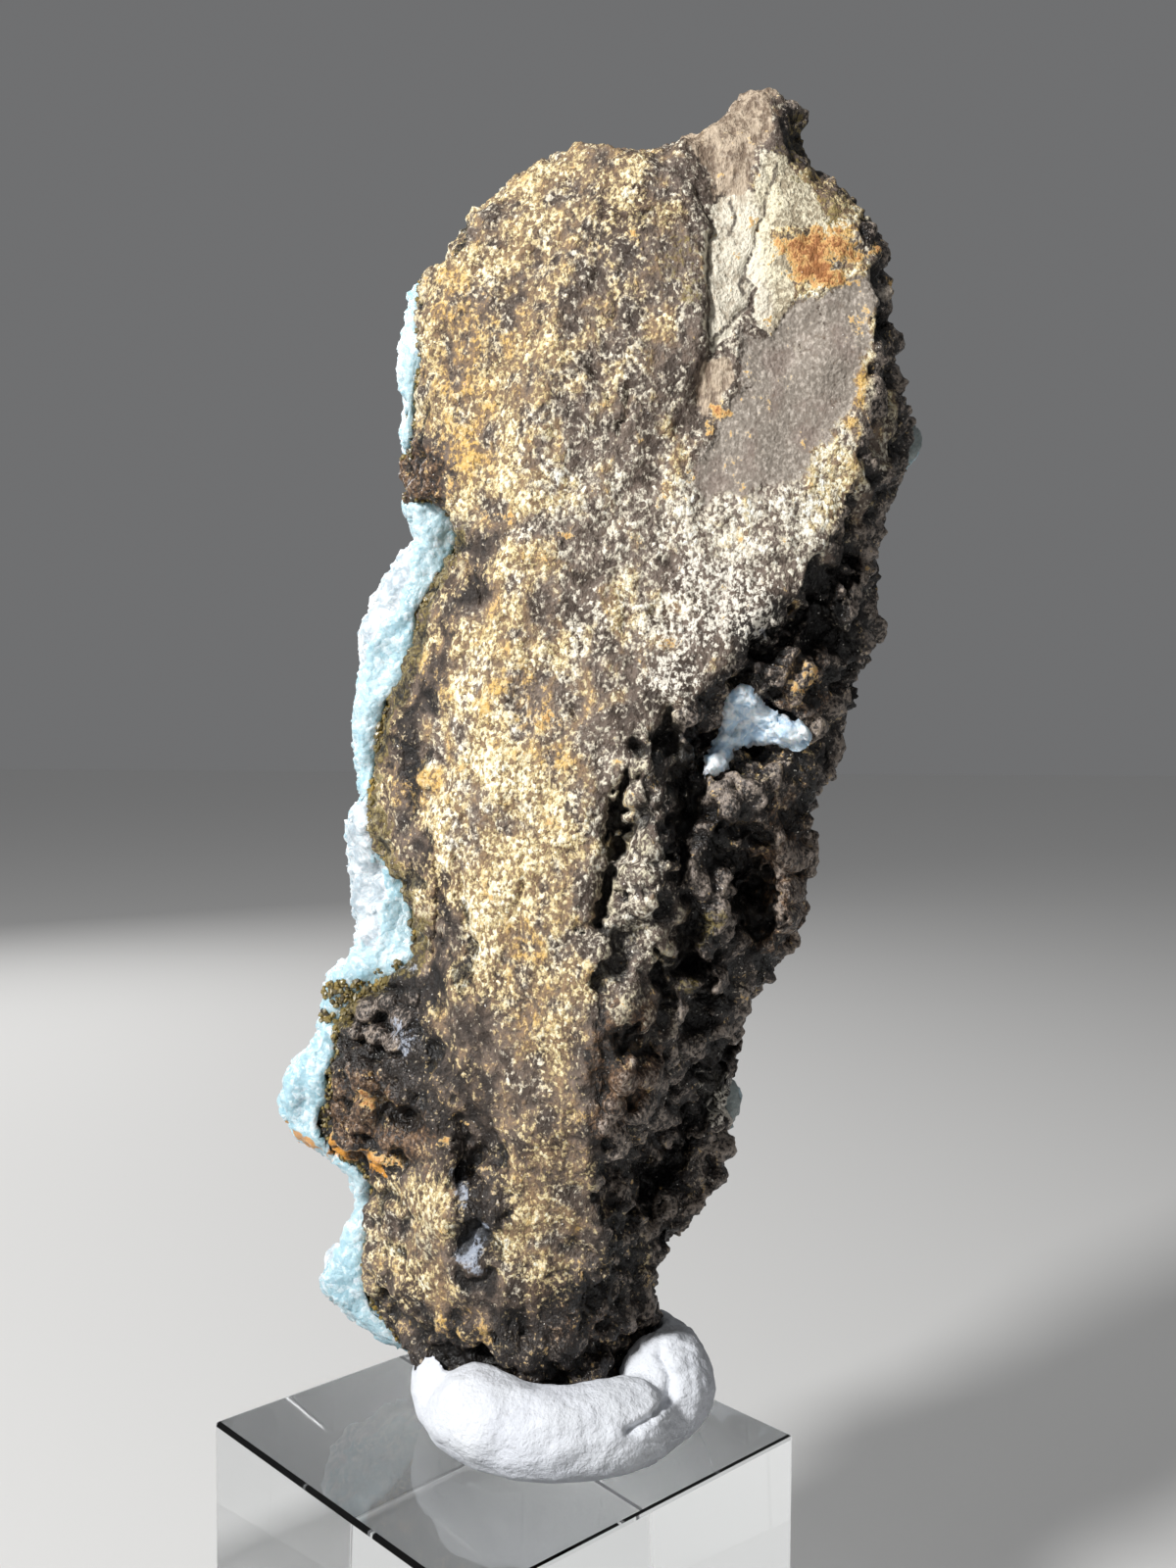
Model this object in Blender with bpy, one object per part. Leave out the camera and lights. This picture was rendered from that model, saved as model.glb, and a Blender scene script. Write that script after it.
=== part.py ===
"""A blue hemimorphite specimen, matrix side forward, held upright by putty on a clear acrylic block.

The rock is a leaning slab of brown limonite. Hemimorphite grew over its far face as one crust of
rounded lobes, which shows past the rock's left edge, and it lines a pocket on the right flank.
Metres, +Z up. The origin is the middle of the block's underside, and the rock faces -Y.
"""

import math

import bmesh
import bpy
import numpy as np
from mathutils import Vector, noise

# Driving sizes, in millimetres
BLOCK_SIDE = 50.0
BLOCK_BEVEL = 0.5
BLOCK_TURN_DEG = 43.0
GAP = 0.3
CUT_GAP = 0.36

# The outlines are drawn on the upright plane y = 0, as an eye at this point sees them. A point of the
# drawing is carried to its own depth along the line of sight, so the outline stays as drawn.
EYE = (10.0, -175.7, 137.5)

# The rock's outline as seen, (x, z), from the lower left corner upwards and round
ROCK_OUTLINE = [
    (-8.5, 46), (-9.5, 55), (-10.5, 60), (-14.5, 63), (-16.8, 66), (-16, 70), (-16.2, 79), (-16, 82),
    (-20, 84.6), (-22.6, 87.5), (-21.6, 91), (-22, 93.6), (-19.8, 96), (-20.6, 100), (-16, 104.4),
    (-10.8, 106.6), (-9.8, 111), (-11.5, 116), (-15, 121), (-15.3, 129), (-14.8, 134), (-12, 141),
    (-10.5, 144), (-10, 149), (-7, 153), (-5.4, 158), (-5.6, 161.4), (-12, 162), (-10.7, 166.6),
    (-9.9, 171), (-9.9, 176), (-10.5, 183), (-9, 187.5), (-6, 190), (-3.5, 195), (1, 199), (5, 201), (8, 203.2),
    (12.5, 202.2), (18, 202.6), (23, 204.4), (25.3, 206), (27.3, 209.2), (29.5, 210), (32.5, 208),
    (35, 203.4), (38.5, 197.4), (42.5, 193.8), (44.8, 191), (44.6, 184), (45.4, 177), (47.6, 171.6),
    (48, 167.6), (45, 163), (43.6, 158.6), (44.3, 152.6), (42.4, 150), (43.4, 146.6), (41, 141.4),
    (40.5, 137), (38.7, 132), (36, 125), (36.8, 118), (35, 111), (31.4, 106), (27.4, 101), (27.9, 94),
    (27.4, 87), (25.4, 80), (23.8, 77), (21, 75), (19.4, 70), (18, 64.5), (19.2, 62), (17, 55), (15.5, 46),
]

# The crust's outline as seen: its scalloped left edge from the foot upwards, then the hidden rest
CRUST_LEFT_EDGE = [
    (-11.2, 59.6), (-15, 61.5), (-18.4, 64), (-21.4, 67.2), (-22, 69), (-20, 71.4), (-17.8, 75),
    (-17.3, 78), (-18, 81.6), (-20.4, 84), (-24.4, 85.7), (-26, 88.6), (-26.3, 91.2), (-25.6, 93.8),
    (-23, 95.9), (-21.6, 98.4), (-21.5, 101.6), (-20.6, 104.8), (-18.6, 107.2), (-16.1, 109.6),
    (-17.4, 111.5), (-18.1, 115), (-18.1, 119), (-18.5, 122.4), (-17.8, 125), (-15.9, 127),
    (-17.1, 129.6), (-17.6, 134), (-17, 139.4), (-16.4, 142.6), (-17, 146), (-15.4, 149.6),
    (-14.2, 152.6), (-12.2, 155), (-9.6, 156.8), (-10.7, 159), (-11.8, 161.4), (-10.4, 163.6),
    (-10.2, 166),
    (-11.9, 167.6), (-11.2, 172.6), (-12.2, 177.6), (-11.5, 181.6), (-10.4, 186.4),
]
CRUST_HIDDEN_EDGE = [
    (-7, 188.4), (-2, 192), (4, 196.4), (12, 198), (20, 198.6), (27, 203), (31, 202), (35, 197),
    (40, 190), (42, 181), (44, 175), (47.4, 171), (49.6, 168.3), (46, 165), (42, 161.4), (40.6, 155),
    (41, 149), (38.6, 141), (37, 133), (34, 125), (34.4, 117), (30.4, 109), (25.6, 103), (24.6, 97),
    (27, 94), (28.6, 91), (27.4, 87.6), (23, 84), (22, 79), (17.4, 75), (14, 70), (7, 67.6), (-1, 67),
    (-7, 63.4),
]

# The hemimorphite that shows in the pocket
POCKET_OUTLINE = [
    (23.4, 127.6), (22.6, 130.6), (24.2, 133.6), (25.6, 137), (26.6, 140.2), (29, 141.4), (31, 139.4),
    (33.4, 137.2), (36.6, 136), (37, 134), (34.4, 132.4), (32, 133.4), (28.4, 132.6), (26, 129.8),
]

# Five lines run up the rock's front, each a list of (z, x, y) as seen. The front is ruled between them.
FRONT_LINES = [
    # left rim
    [(46, -12, 2), (60, -13, 1), (66, -17, 2), (80, -17, 2), (90, -23, 4), (100, -21, 3.5), (107, -12, 0.5),
     (122, -15.5, 1), (135, -15, 1), (145, -11, -0.5), (156, -6, -1), (164, -12, 1), (183, -11, 1),
     (195, -4, 1.5), (203, 7, 2), (210, 24, 4)],
    # middle of the lit face
    [(46, -3, -1), (56, -3, -6), (66, -5, -9), (76, -6, -9), (90, -8, -7), (105, -3, -9.5), (125, -3, -9),
     (150, 1, -9), (175, 4, -7.5), (192, 8, -4.5), (203, 14, -1), (210, 26, 3)],
    # ridge, and above the pocket the right-hand edge of the lit face
    [(46, 5, -2), (54, 6, -7), (62, 10, -10.5), (70, 13.5, -11), (80, 11.6, -13), (90, 10.5, -14.5),
     (110, 10.5, -14.5), (128, 14, -14), (138, 21, -13), (146, 29, -12), (154, 37, -10), (166, 42, -8.5),
     (182, 43.6, -7), (190, 43.6, -5), (197, 36.5, -4), (204, 32.6, -2), (210, 30, 1)],
    # middle of the shaded flank
    [(46, 10, 0), (56, 13, -3), (64, 16, -2), (74, 17.5, 1), (84, 17, -1), (91, 18, -7), (100, 19.6, -10),
     (112, 24, -10.6), (128, 28.6, -10.2), (140, 33, -9.5), (148, 38.5, -8), (156, 41.5, -5.5), (166, 44.6, -3),
     (182, 44.6, -1), (190, 44.6, 0), (197, 38.6, 1), (204, 34.4, 2), (210, 31, 4)],
    # right rim
    [(46, 15, 4), (56, 18, 4), (66, 19, 6), (76, 23, 9), (88, 28, 8), (100, 28, 2), (112, 35.5, -1),
     (128, 37.6, -2), (142, 42, 0), (152, 44.6, 2.5), (162, 45, 5), (168, 49, 6), (182, 46, 6), (190, 46, 6),
     (197, 40.4, 7), (204, 36, 7), (210, 32.6, 7)],
]
# The far face of the rock, (z, y): it draws in towards the foot
BACK_LINE = [(46, 8), (58, 9), (70, 13), (90, 15.5), (130, 15), (170, 14), (190, 13), (210, 11)]

# Hollows and knobs of the front as seen: (x, z, half width, half height, rise), a hollow having rise < 0
FRONT_RELIEF = [
    # dark cup and lump low on the left, and the furrow beside them
    (-14.8, 100.0, 6.0, 5.4, -3.4),
    (-15.6, 89.2, 7.0, 6.6, 2.4),
    (-3.1, 83.0, 2.8, 7.4, -3.4),
    (-3.1, 72.4, 3.0, 6.0, -3.6),
    (4.3, 85.6, 7.6, 9.0, 1.8),
    (-8.6, 76.0, 4.6, 7.0, 1.2),
    # pits along the foot
    (-13.6, 64.8, 3.0, 2.8, -2.2),
    (5.4, 62.4, 5.0, 4.6, -3.4),
    (12.4, 61.0, 4.6, 4.8, -3.2),
    (10.0, 72.0, 3.4, 3.4, -1.8),
    # cracks and slots down the flank
    (14.0, 125.0, 1.9, 6.6, -4.4),
    (12.4, 115.6, 1.9, 4.6, -3.6),
    (19.3, 135.4, 1.7, 3.0, -3.0),
    (21.4, 121.4, 1.9, 5.6, -3.8),
    (22.3, 106.8, 2.2, 5.2, -5.0),
    (18.8, 106.2, 1.5, 3.4, -2.6),
    (30.0, 115.0, 2.9, 7.2, -6.0),
    (35.4, 119.0, 1.7, 4.4, -3.2),
    (17.0, 80.6, 5.4, 9.0, -4.4),
    (19.6, 72.0, 3.0, 6.0, -2.4),
    # lumps down the flank
    (17.0, 117.6, 3.4, 8.0, 1.6),
    (15.8, 92.2, 5.4, 5.4, 2.4),
    (25.0, 111.0, 2.6, 6.6, 2.0),
    (33.4, 113.0, 2.2, 5.0, 1.8),
    (26.0, 91.0, 4.0, 5.0, 2.0),
    (31.5, 130.0, 3.4, 2.6, 2.4),
    (36.0, 128.6, 2.6, 2.8, 2.2),
    (37.0, 142.0, 4.0, 3.2, 2.2),
    # the pocket, and the shadowed undercut that runs up from it
    (28.2, 134.6, 7.4, 8.6, -8.0),
    (23.8, 130.6, 2.6, 6.6, -3.0),
    (35.0, 146.4, 6.4, 2.2, -3.4),
]
# The thin slab of harder rock on the lit face ends in a step down to the smooth fracture plane
STEP_LINE = [(210, 23.6), (200, 21.6), (196, 24), (183, 23.4), (177, 21.6), (170, 19.6), (163, 15)]
STEP_HEIGHT = 1.6
STEP_WIDTH = 0.9
STEP_FOOT_Z = 168.0
STEP_FADE = 12.0

# Roughness: size of the facets, lumps and pits, and how far they stand on smooth and on broken rock
FACET_SIZE = 8.0
LUMP_SIZE = 12.0
PIT_SIZE = 4.2
SMOOTH_ROUGHNESS = 0.22
BROKEN_ROUGHNESS = 1.0
FACET_RISE = 2.6
LUMP_RISE = 1.2
PIT_DEPTH = 4.0
# Broken rock left of the ridge, as seen: (x, z, half width, half height)
BROKEN_PATCHES = [(-15.5, 92, 8, 13), (2, 58, 17, 9), (-3, 76, 3.5, 10), (-10, 163, 3.5, 6)]
FOOT_FADE = 3.0
PEAK_START_Z = 198.0
PEAK_CALM = 0.75
# The rock's far edge is rounded off
BACK_ROUND = 8.0
BACK_ROUND_DROP = 5.0

# Crust
CRUST_THICKNESS = 3.0
LOBE_SPACING = 13.0
LOBE_RADIUS = 9.4
LOBE_RISE = 6.0
BUBBLE_SPACING = 6.6
BUBBLE_RADIUS = 4.2
BUBBLE_RISE = 1.7
LOBE_JITTER = 0.36
LOBE_WARP = 1.6
RIM_ROUND = 6.5
RIM_FRONT_Y = 5.0
RIM_WRAP = 9.0
CRUST_SEED = 7

# Putty ring: centre line of the roll, an oval, and how the roll varies round it
RING_CENTRE = (7.0, 1.4)
RING_HALF_AXES = (13.2, 12.8)
RING_TUBE = 5.3
# (direction in degrees from +X towards +Y, half width of the change in degrees, change of the radius)
RING_SWELLS = [(-36, 6, -1.5), (-16, 16, 0.7), (206, 9, -0.9), (232, 16, 0.3), (120, 30, -0.4)]
# (direction, half width, lift of the top)
RING_LIFTS = [(176, 40, 1.6), (14, 40, 1.4)]

# Mesh sizes
DRAWING_VOXEL = 1.0
SKIN_VOXEL = 1.0
PUTTY_VOXEL = 1.3
ROCK_TRIANGLES = 4250
CRUST_TRIANGLES = 2850
POCKET_TRIANGLES = 240
PUTTY_TRIANGLES = 600

MM = 0.001
ROCK_FOOT_Z = BLOCK_SIDE + GAP
RING_FOOT_Z = BLOCK_SIDE + GAP


def clear_scene():
    for obj in list(bpy.data.objects):
        bpy.data.objects.remove(obj, do_unlink=True)


# Small helpers for meshes

def points_of(mesh):
    """The mesh's points as an array, in millimetres."""
    flat = np.empty(len(mesh.vertices) * 3)
    mesh.vertices.foreach_get("co", flat)
    return flat.reshape(-1, 3) / MM


def set_points(mesh, points):
    mesh.vertices.foreach_set("co", (points * MM).ravel())
    mesh.update()


def evaluated_mesh(obj):
    graph = bpy.context.evaluated_depsgraph_get()
    return bpy.data.meshes.new_from_object(obj.evaluated_get(graph))


def apply_modifiers(obj):
    """Bakes the object's modifiers into its mesh."""
    bpy.context.view_layer.update()
    made = evaluated_mesh(obj)
    obj.modifiers.clear()
    obj.data = made


def normals_of(mesh):
    """Point normals scaled so that moving along them moves each face by the same distance."""
    bm = bmesh.new()
    bm.from_mesh(mesh)
    bm.normal_update()
    normals = np.array([v.normal * min(v.calc_shell_factor(), 1.6) for v in bm.verts])
    bm.free()
    return normals


def largest_body(mesh):
    """Removes the crumbs that a cut leaves beside the main body."""
    bm = bmesh.new()
    bm.from_mesh(mesh)
    left = set(bm.verts)
    bodies = []
    while left:
        body, edge_of_body = set(), [left.pop()]
        while edge_of_body:
            vert = edge_of_body.pop()
            body.add(vert)
            for edge in vert.link_edges:
                other = edge.other_vert(vert)
                if other in left:
                    left.discard(other)
                    edge_of_body.append(other)
        bodies.append(body)
    bodies.sort(key=len)
    crumbs = [vert for body in bodies[:-1] for vert in body]
    bmesh.ops.delete(bm, geom=crumbs, context="VERTS")
    bm.to_mesh(mesh)
    bm.free()


def decimate(obj, triangles):
    """Thins the mesh to about this many triangles, keeping the form."""
    faces = sum(len(face.vertices) - 2 for face in obj.data.polygons)
    thin = obj.modifiers.new("thin", "DECIMATE")
    thin.ratio = min(1.0, triangles / faces)
    apply_modifiers(obj)


def remesh(obj, voxel):
    even = obj.modifiers.new("even", "REMESH")
    even.mode = "VOXEL"
    even.voxel_size = voxel * MM
    even.adaptivity = 0.0
    apply_modifiers(obj)


def cut(obj, cutter):
    boolean = obj.modifiers.new("cut", "BOOLEAN")
    boolean.operation = "DIFFERENCE"
    boolean.solver = "EXACT"
    boolean.object = cutter
    apply_modifiers(obj)
    largest_body(obj.data)


def grown_copy(obj, gap):
    """A hidden cutter: the solid with its skin moved out by the gap."""
    mesh = obj.data.copy()
    set_points(mesh, points_of(mesh) + normals_of(mesh) * gap)
    cutter = bpy.data.objects.new(obj.name + "_grown", mesh)
    bpy.context.scene.collection.objects.link(cutter)
    cutter.hide_render = True
    cutter.display_type = "WIRE"
    return cutter


def plate(name, outline, front, back, voxel):
    """The outline as a flat plate from depth front to depth back, remeshed to an even skin."""
    bm = bmesh.new()
    corners = [bm.verts.new((x * MM, front * MM, z * MM)) for x, z in outline]
    face = bm.faces.new(corners)
    moved = bmesh.ops.extrude_face_region(bm, geom=[face])["geom"]
    bmesh.ops.translate(
        bm,
        vec=(0, (back - front) * MM, 0),
        verts=[part for part in moved if isinstance(part, bmesh.types.BMVert)],
    )
    bmesh.ops.recalc_face_normals(bm, faces=bm.faces)
    mesh = bpy.data.meshes.new(name)
    bm.to_mesh(mesh)
    bm.free()
    obj = bpy.data.objects.new(name, mesh)
    bpy.context.scene.collection.objects.link(obj)
    remesh(obj, voxel)
    return obj


# Shape functions: x, y and z are arrays in millimetres

def carry_to_depth(points):
    """Moves points of the drawing along their lines of sight to their own depth."""
    reach = 1 + points[:, 1] / -EYE[1]
    seen = points.copy()
    seen[:, 0] = EYE[0] + (points[:, 0] - EYE[0]) * reach
    seen[:, 2] = EYE[2] + (points[:, 2] - EYE[2]) * reach
    return seen


def as_drawn(points):
    """The other way: where points of the solid fall on the drawing."""
    reach = 1 + points[:, 1] / -EYE[1]
    drawn = points.copy()
    drawn[:, 0] = EYE[0] + (points[:, 0] - EYE[0]) / reach
    drawn[:, 2] = EYE[2] + (points[:, 2] - EYE[2]) / reach
    return drawn


def ruled_front(x, z):
    """Depth of the rock's front, ruled between the five lines."""
    lines = [np.array(line, float).T for line in FRONT_LINES]
    across = np.array([np.interp(z, line[0], line[1]) for line in lines])
    depth = np.array([np.interp(z, line[0], line[2]) for line in lines])
    front = depth[0].copy()
    for i in range(len(lines) - 1):
        share = (x - across[i]) / np.maximum(across[i + 1] - across[i], 0.5)
        here = share > 0
        front[here] = (depth[i] + (depth[i + 1] - depth[i]) * np.minimum(share, 1))[here]
    return front


def relief(x, z, features):
    """Sum of the smooth hollows and knobs."""
    rise = np.zeros_like(x)
    for cx, cz, half_x, half_z, height in features:
        away = ((x - cx) / half_x) ** 2 + ((z - cz) / half_z) ** 2
        rise += height * np.clip(1 - away, 0, 1) ** 1.5
    return rise


def step_up(x, z):
    """The thin hard layer left of the step line, fading out below its foot."""
    line = np.array(STEP_LINE[::-1], float).T
    inside = np.clip((np.interp(z, line[0], line[1]) - x) / STEP_WIDTH + 0.5, 0, 1)
    near = np.clip(1 - (np.interp(z, line[0], line[1]) - x) / STEP_FADE, 0, 1)
    return STEP_HEIGHT * inside * near * np.clip((z - STEP_FOOT_Z) / STEP_FADE, 0, 1)


def shade_share(x, z):
    """0 on the lit face and 1 on the shaded flank right of the ridge."""
    ridge = np.array(FRONT_LINES[2], float).T
    return np.clip((x - np.interp(z, ridge[0], ridge[1])) / 3.0 + 0.5, 0, 1)


def facets(points, size):
    """Flat facets: each cell of a Voronoi pattern tilts its own way. From -1 to 1 or so."""
    rise = np.empty(len(points))
    for i, point in enumerate(points):
        here = Vector(point) / size
        centre = noise.voronoi(here)[1][0]
        tilt = noise.cell_vector(centre * 7.31) * 2 - Vector((1, 1, 1))
        rise[i] = (here - centre).dot(tilt)
    return rise


def lumps(points, size):
    return np.array([noise.fractal(Vector(point) / size, 1.0, 2.2, 2) for point in points])


def broken_share(x, z):
    """0 where the rock is smooth and 1 where it is broken: the flank and the listed patches."""
    share = shade_share(x, z)
    for cx, cz, half_x, half_z in BROKEN_PATCHES:
        away = ((x - cx) / half_x) ** 2 + ((z - cz) / half_z) ** 2
        share = np.maximum(share, np.clip(1.6 - 1.6 * away, 0, 1))
    return share


def inside_distance(x, z, outline):
    """How far each point lies inside the closed outline, 0 outside it."""
    corners = np.array(outline, float)
    nearest = np.full(len(x), np.inf)
    crossings = np.zeros(len(x), int)
    for (ax, az), (bx, bz) in zip(corners, np.roll(corners, -1, axis=0)):
        dx, dz = bx - ax, bz - az
        along = np.clip(((x - ax) * dx + (z - az) * dz) / (dx * dx + dz * dz), 0, 1)
        nearest = np.minimum(nearest, np.hypot(x - ax - along * dx, z - az - along * dz))
        spans = (az > z) != (bz > z)
        where = ax + dx * (z - az) / (dz if dz else 1e-9)
        crossings += spans & (x < where)
    return np.where(crossings % 2 == 1, nearest, 0.0)


def lobe_centres(outline, spacing, radius, seed):
    """Seeded centres of round lobes, on a jittered triangular grid over the outline."""
    rng = np.random.default_rng(seed)
    xs = [x for x, _ in outline]
    zs = [z for _, z in outline]
    centres = []
    rows = int((max(zs) - min(zs)) / (spacing * 0.87)) + 2
    columns = int((max(xs) - min(xs)) / spacing) + 2
    for row in range(rows):
        for column in range(columns):
            jitter = rng.uniform(-1, 1, 2) * LOBE_JITTER * spacing
            size = rng.uniform(0.72, 1.25)
            x = min(xs) + (column + 0.5 * (row % 2)) * spacing + jitter[0]
            z = min(zs) + row * spacing * 0.87 + jitter[1]
            centres.append((x, z, radius * size))
    return centres


def caps(x, z, centres):
    """Height of the highest cap at each point, 1 at the top of a cap of middling size."""
    height = np.zeros_like(x)
    middling = sum(radius for _, _, radius in centres) / len(centres)
    for cx, cz, radius in centres:
        away = np.clip(np.hypot(x - cx, z - cz) / radius, 0, 1)
        height = np.maximum(height, np.sqrt(1 - away**2) * radius / middling)
    return height


def crust_height(points, x, z, outline):
    """Thickness of the crust over the rock: large lobes with small bubbles on them."""
    swirl = np.array([noise.noise_vector(Vector(point) / 14.0) for point in points]) * LOBE_WARP
    large = caps(x + swirl[:, 0], z + swirl[:, 2],
                 lobe_centres(outline, LOBE_SPACING, LOBE_RADIUS, CRUST_SEED))
    small = caps(x + swirl[:, 1], z, lobe_centres(outline, BUBBLE_SPACING, BUBBLE_RADIUS, CRUST_SEED + 1))
    return CRUST_THICKNESS + large * LOBE_RISE + small * BUBBLE_RISE


def dome(inside, reach):
    """0 at an edge, rising as a quarter circle to 1 at this reach inside it."""
    share = np.clip(inside / reach, 0, 1)
    return np.sqrt(1 - (1 - share) ** 2)


# Materials and finishing

def material(name, colour, roughness, alpha=1.0, transmission=0.0, ior=1.5):
    made = bpy.data.materials.new(name)
    made.use_nodes = True
    shader = made.node_tree.nodes["Principled BSDF"]
    shader.inputs["Base Color"].default_value = (*colour, 1.0)
    shader.inputs["Roughness"].default_value = roughness
    shader.inputs["Metallic"].default_value = 0.0
    shader.inputs["Alpha"].default_value = alpha
    shader.inputs["Transmission Weight"].default_value = transmission
    shader.inputs["IOR"].default_value = ior
    return made


def finish(obj, made, sharp_deg):
    obj.data.materials.clear()
    obj.data.materials.append(made)
    obj.data.shade_smooth()
    obj.data.set_sharp_from_angle(angle=math.radians(sharp_deg))


# The pieces

def trim_foot(obj, level):
    """Cuts the piece off flat at this height."""
    bm = bmesh.new()
    bmesh.ops.create_cube(bm, size=200 * MM)
    mesh = bpy.data.meshes.new("below")
    bm.to_mesh(mesh)
    bm.free()
    below = bpy.data.objects.new("below", mesh)
    bpy.context.scene.collection.objects.link(below)
    below.location = (0, 0, (level - 100) * MM)
    below.hide_render = True
    below.display_type = "WIRE"
    cut(obj, below)
    bpy.data.objects.remove(below)


def make_rock():
    """The limonite slab: the outline plate with its front and far face moulded, then roughened."""
    front, back = -10.0, 14.0
    rock = plate("matrix_rock", ROCK_OUTLINE, front, back, DRAWING_VOXEL)
    points = points_of(rock.data)
    x, y, z = points.T
    share = np.clip((y - front) / (back - front), 0, 1)
    near = ruled_front(x, z) - relief(x, z, FRONT_RELIEF) - step_up(x, z)
    rounding = 1 - dome(inside_distance(x, z, ROCK_OUTLINE), BACK_ROUND)
    far = np.interp(z, *np.array(BACK_LINE, float).T) - BACK_ROUND_DROP * rounding
    near = np.minimum(near, far - 4.0)
    points[:, 1] = near + (far - near) * share
    set_points(rock.data, carry_to_depth(points))
    remesh(rock, SKIN_VOXEL)
    roughen(rock)
    trim_foot(rock, ROCK_FOOT_Z)
    remesh(rock, SKIN_VOXEL)
    trim_foot(rock, ROCK_FOOT_Z)
    decimate(rock, ROCK_TRIANGLES)
    return rock


def roughen(rock):
    """Facets, lumps and pits, strongest on the broken flank and left off under the crust."""
    points = points_of(rock.data)
    normals = normals_of(rock.data)
    seen = as_drawn(points)
    x, z = seen[:, 0], seen[:, 2]
    share = broken_share(x, z)
    share = np.maximum(share, np.clip((points[:, 1] - 3) / 4, 0, 0.7))
    hidden = (normals[:, 1] > 0.5) & (inside_distance(x, z, CRUST_LEFT_EDGE + CRUST_HIDDEN_EDGE) > 3)
    strength = SMOOTH_ROUGHNESS + (BROKEN_ROUGHNESS - SMOOTH_ROUGHNESS) * share
    strength[hidden] = 0
    strength *= 1 - PEAK_CALM * np.clip((z - PEAK_START_Z) / 6, 0, 1)
    strength *= 1 - np.clip(inside_distance(x, z, POCKET_OUTLINE) + 0.2, 0, 1) * (points[:, 1] < 6)
    strength *= np.clip((points[:, 2] - ROCK_FOOT_Z) / FOOT_FADE, 0, 1)
    bumps = facets(points, FACET_SIZE) * FACET_RISE + lumps(points, LUMP_SIZE) * LUMP_RISE
    pits = np.clip(lumps(points + 70, PIT_SIZE) - 0.12, 0, 1) * PIT_DEPTH
    points += normals * ((bumps - pits) * strength)[:, None]
    set_points(rock.data, points)


def make_crust(rock_cutter):
    """The hemimorphite crust: a lobed sheet behind the rock that wraps its left edge."""
    outline = CRUST_LEFT_EDGE + CRUST_HIDDEN_EDGE
    front, back = 4.0, 20.0
    crust = plate("hemimorphite_crust", outline, front, back, DRAWING_VOXEL)
    points = points_of(crust.data)
    x, y, z = points.T
    share = np.clip((y - front) / (back - front), 0, 1)
    bed = np.interp(z, *np.array(BACK_LINE, float).T)
    left = np.array(CRUST_LEFT_EDGE, float)
    from_left = x - np.interp(z, left[:, 1], left[:, 0])
    wrap = np.clip((from_left - RIM_WRAP) / 3.0, 0, 1)
    near = RIM_FRONT_Y + (bed - 2.0 - RIM_FRONT_Y) * wrap + lumps(points, FACET_SIZE) * 0.7
    inside = inside_distance(x, z, outline)
    far = bed - 2.0 + (crust_height(points, x, z, outline) + 2.0) * dome(inside, RIM_ROUND)
    far = np.maximum(far, near + 3.0)
    points[:, 1] = near + (far - near) * share
    set_points(crust.data, carry_to_depth(points))
    remesh(crust, SKIN_VOXEL)
    decimate(crust, CRUST_TRIANGLES)
    cut(crust, rock_cutter)
    return crust


def make_pocket(rock_cutter):
    """The small lens of hemimorphite in the pocket, seated on the pocket's floor."""
    front, back = -6.0, 2.0
    pocket = plate("hemimorphite_pocket", POCKET_OUTLINE, front, back, 1.0)
    points = points_of(pocket.data)
    x, y, z = points.T
    share = np.clip((y - front) / (back - front), 0, 1)
    floor = ruled_front(x, z) - relief(x, z, FRONT_RELIEF)
    rise = 3.4 * dome(inside_distance(x, z, POCKET_OUTLINE), 3.0) + lumps(points, 4.0) * 0.5
    near = floor - rise
    far = floor + 2.5
    points[:, 1] = near + (far - near) * share
    set_points(pocket.data, carry_to_depth(points))
    remesh(pocket, SKIN_VOXEL)
    decimate(pocket, POCKET_TRIANGLES)
    cut(pocket, rock_cutter)
    return pocket


def swell(turn_deg, changes):
    """Sum of the local changes at this direction of the ring."""
    total = 0.0
    for middle, half_width, change in changes:
        away = (turn_deg - middle + 180) % 360 - 180
        total += change * math.exp(-((away / half_width) ** 2))
    return total


def make_putty(cutters):
    """A roll of putty bent into a ring, its ends meeting in a crease on the right."""
    around, across = 96, 28
    verts, faces = [], []
    for i in range(around):
        turn = 2 * math.pi * i / around
        tube = RING_TUBE + swell(math.degrees(turn), RING_SWELLS)
        lift = 1 + swell(math.degrees(turn), RING_LIFTS) / RING_TUBE
        centre_x = RING_CENTRE[0] + RING_HALF_AXES[0] * math.cos(turn)
        centre_y = RING_CENTRE[1] + RING_HALF_AXES[1] * math.sin(turn)
        centre_z = RING_FOOT_Z + tube * 0.9
        for j in range(across):
            angle = 2 * math.pi * j / across
            out = math.cos(angle) * tube
            up = math.sin(angle) * tube * (lift if math.sin(angle) > 0 else 1)
            x = centre_x + math.cos(turn) * out
            y = centre_y + math.sin(turn) * out
            verts.append((x * MM, y * MM, max(centre_z + up, RING_FOOT_Z) * MM))
            after, beside = (i + 1) % around, (j + 1) % across
            faces.append((i * across + j, after * across + j, after * across + beside, i * across + beside))
    mesh = bpy.data.meshes.new("putty_ring")
    mesh.from_pydata(verts, [], faces)
    putty = bpy.data.objects.new("putty_ring", mesh)
    bpy.context.scene.collection.objects.link(putty)
    remesh(putty, PUTTY_VOXEL)
    decimate(putty, PUTTY_TRIANGLES)
    for cutter in cutters:
        cut(putty, cutter)
    return putty


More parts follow.
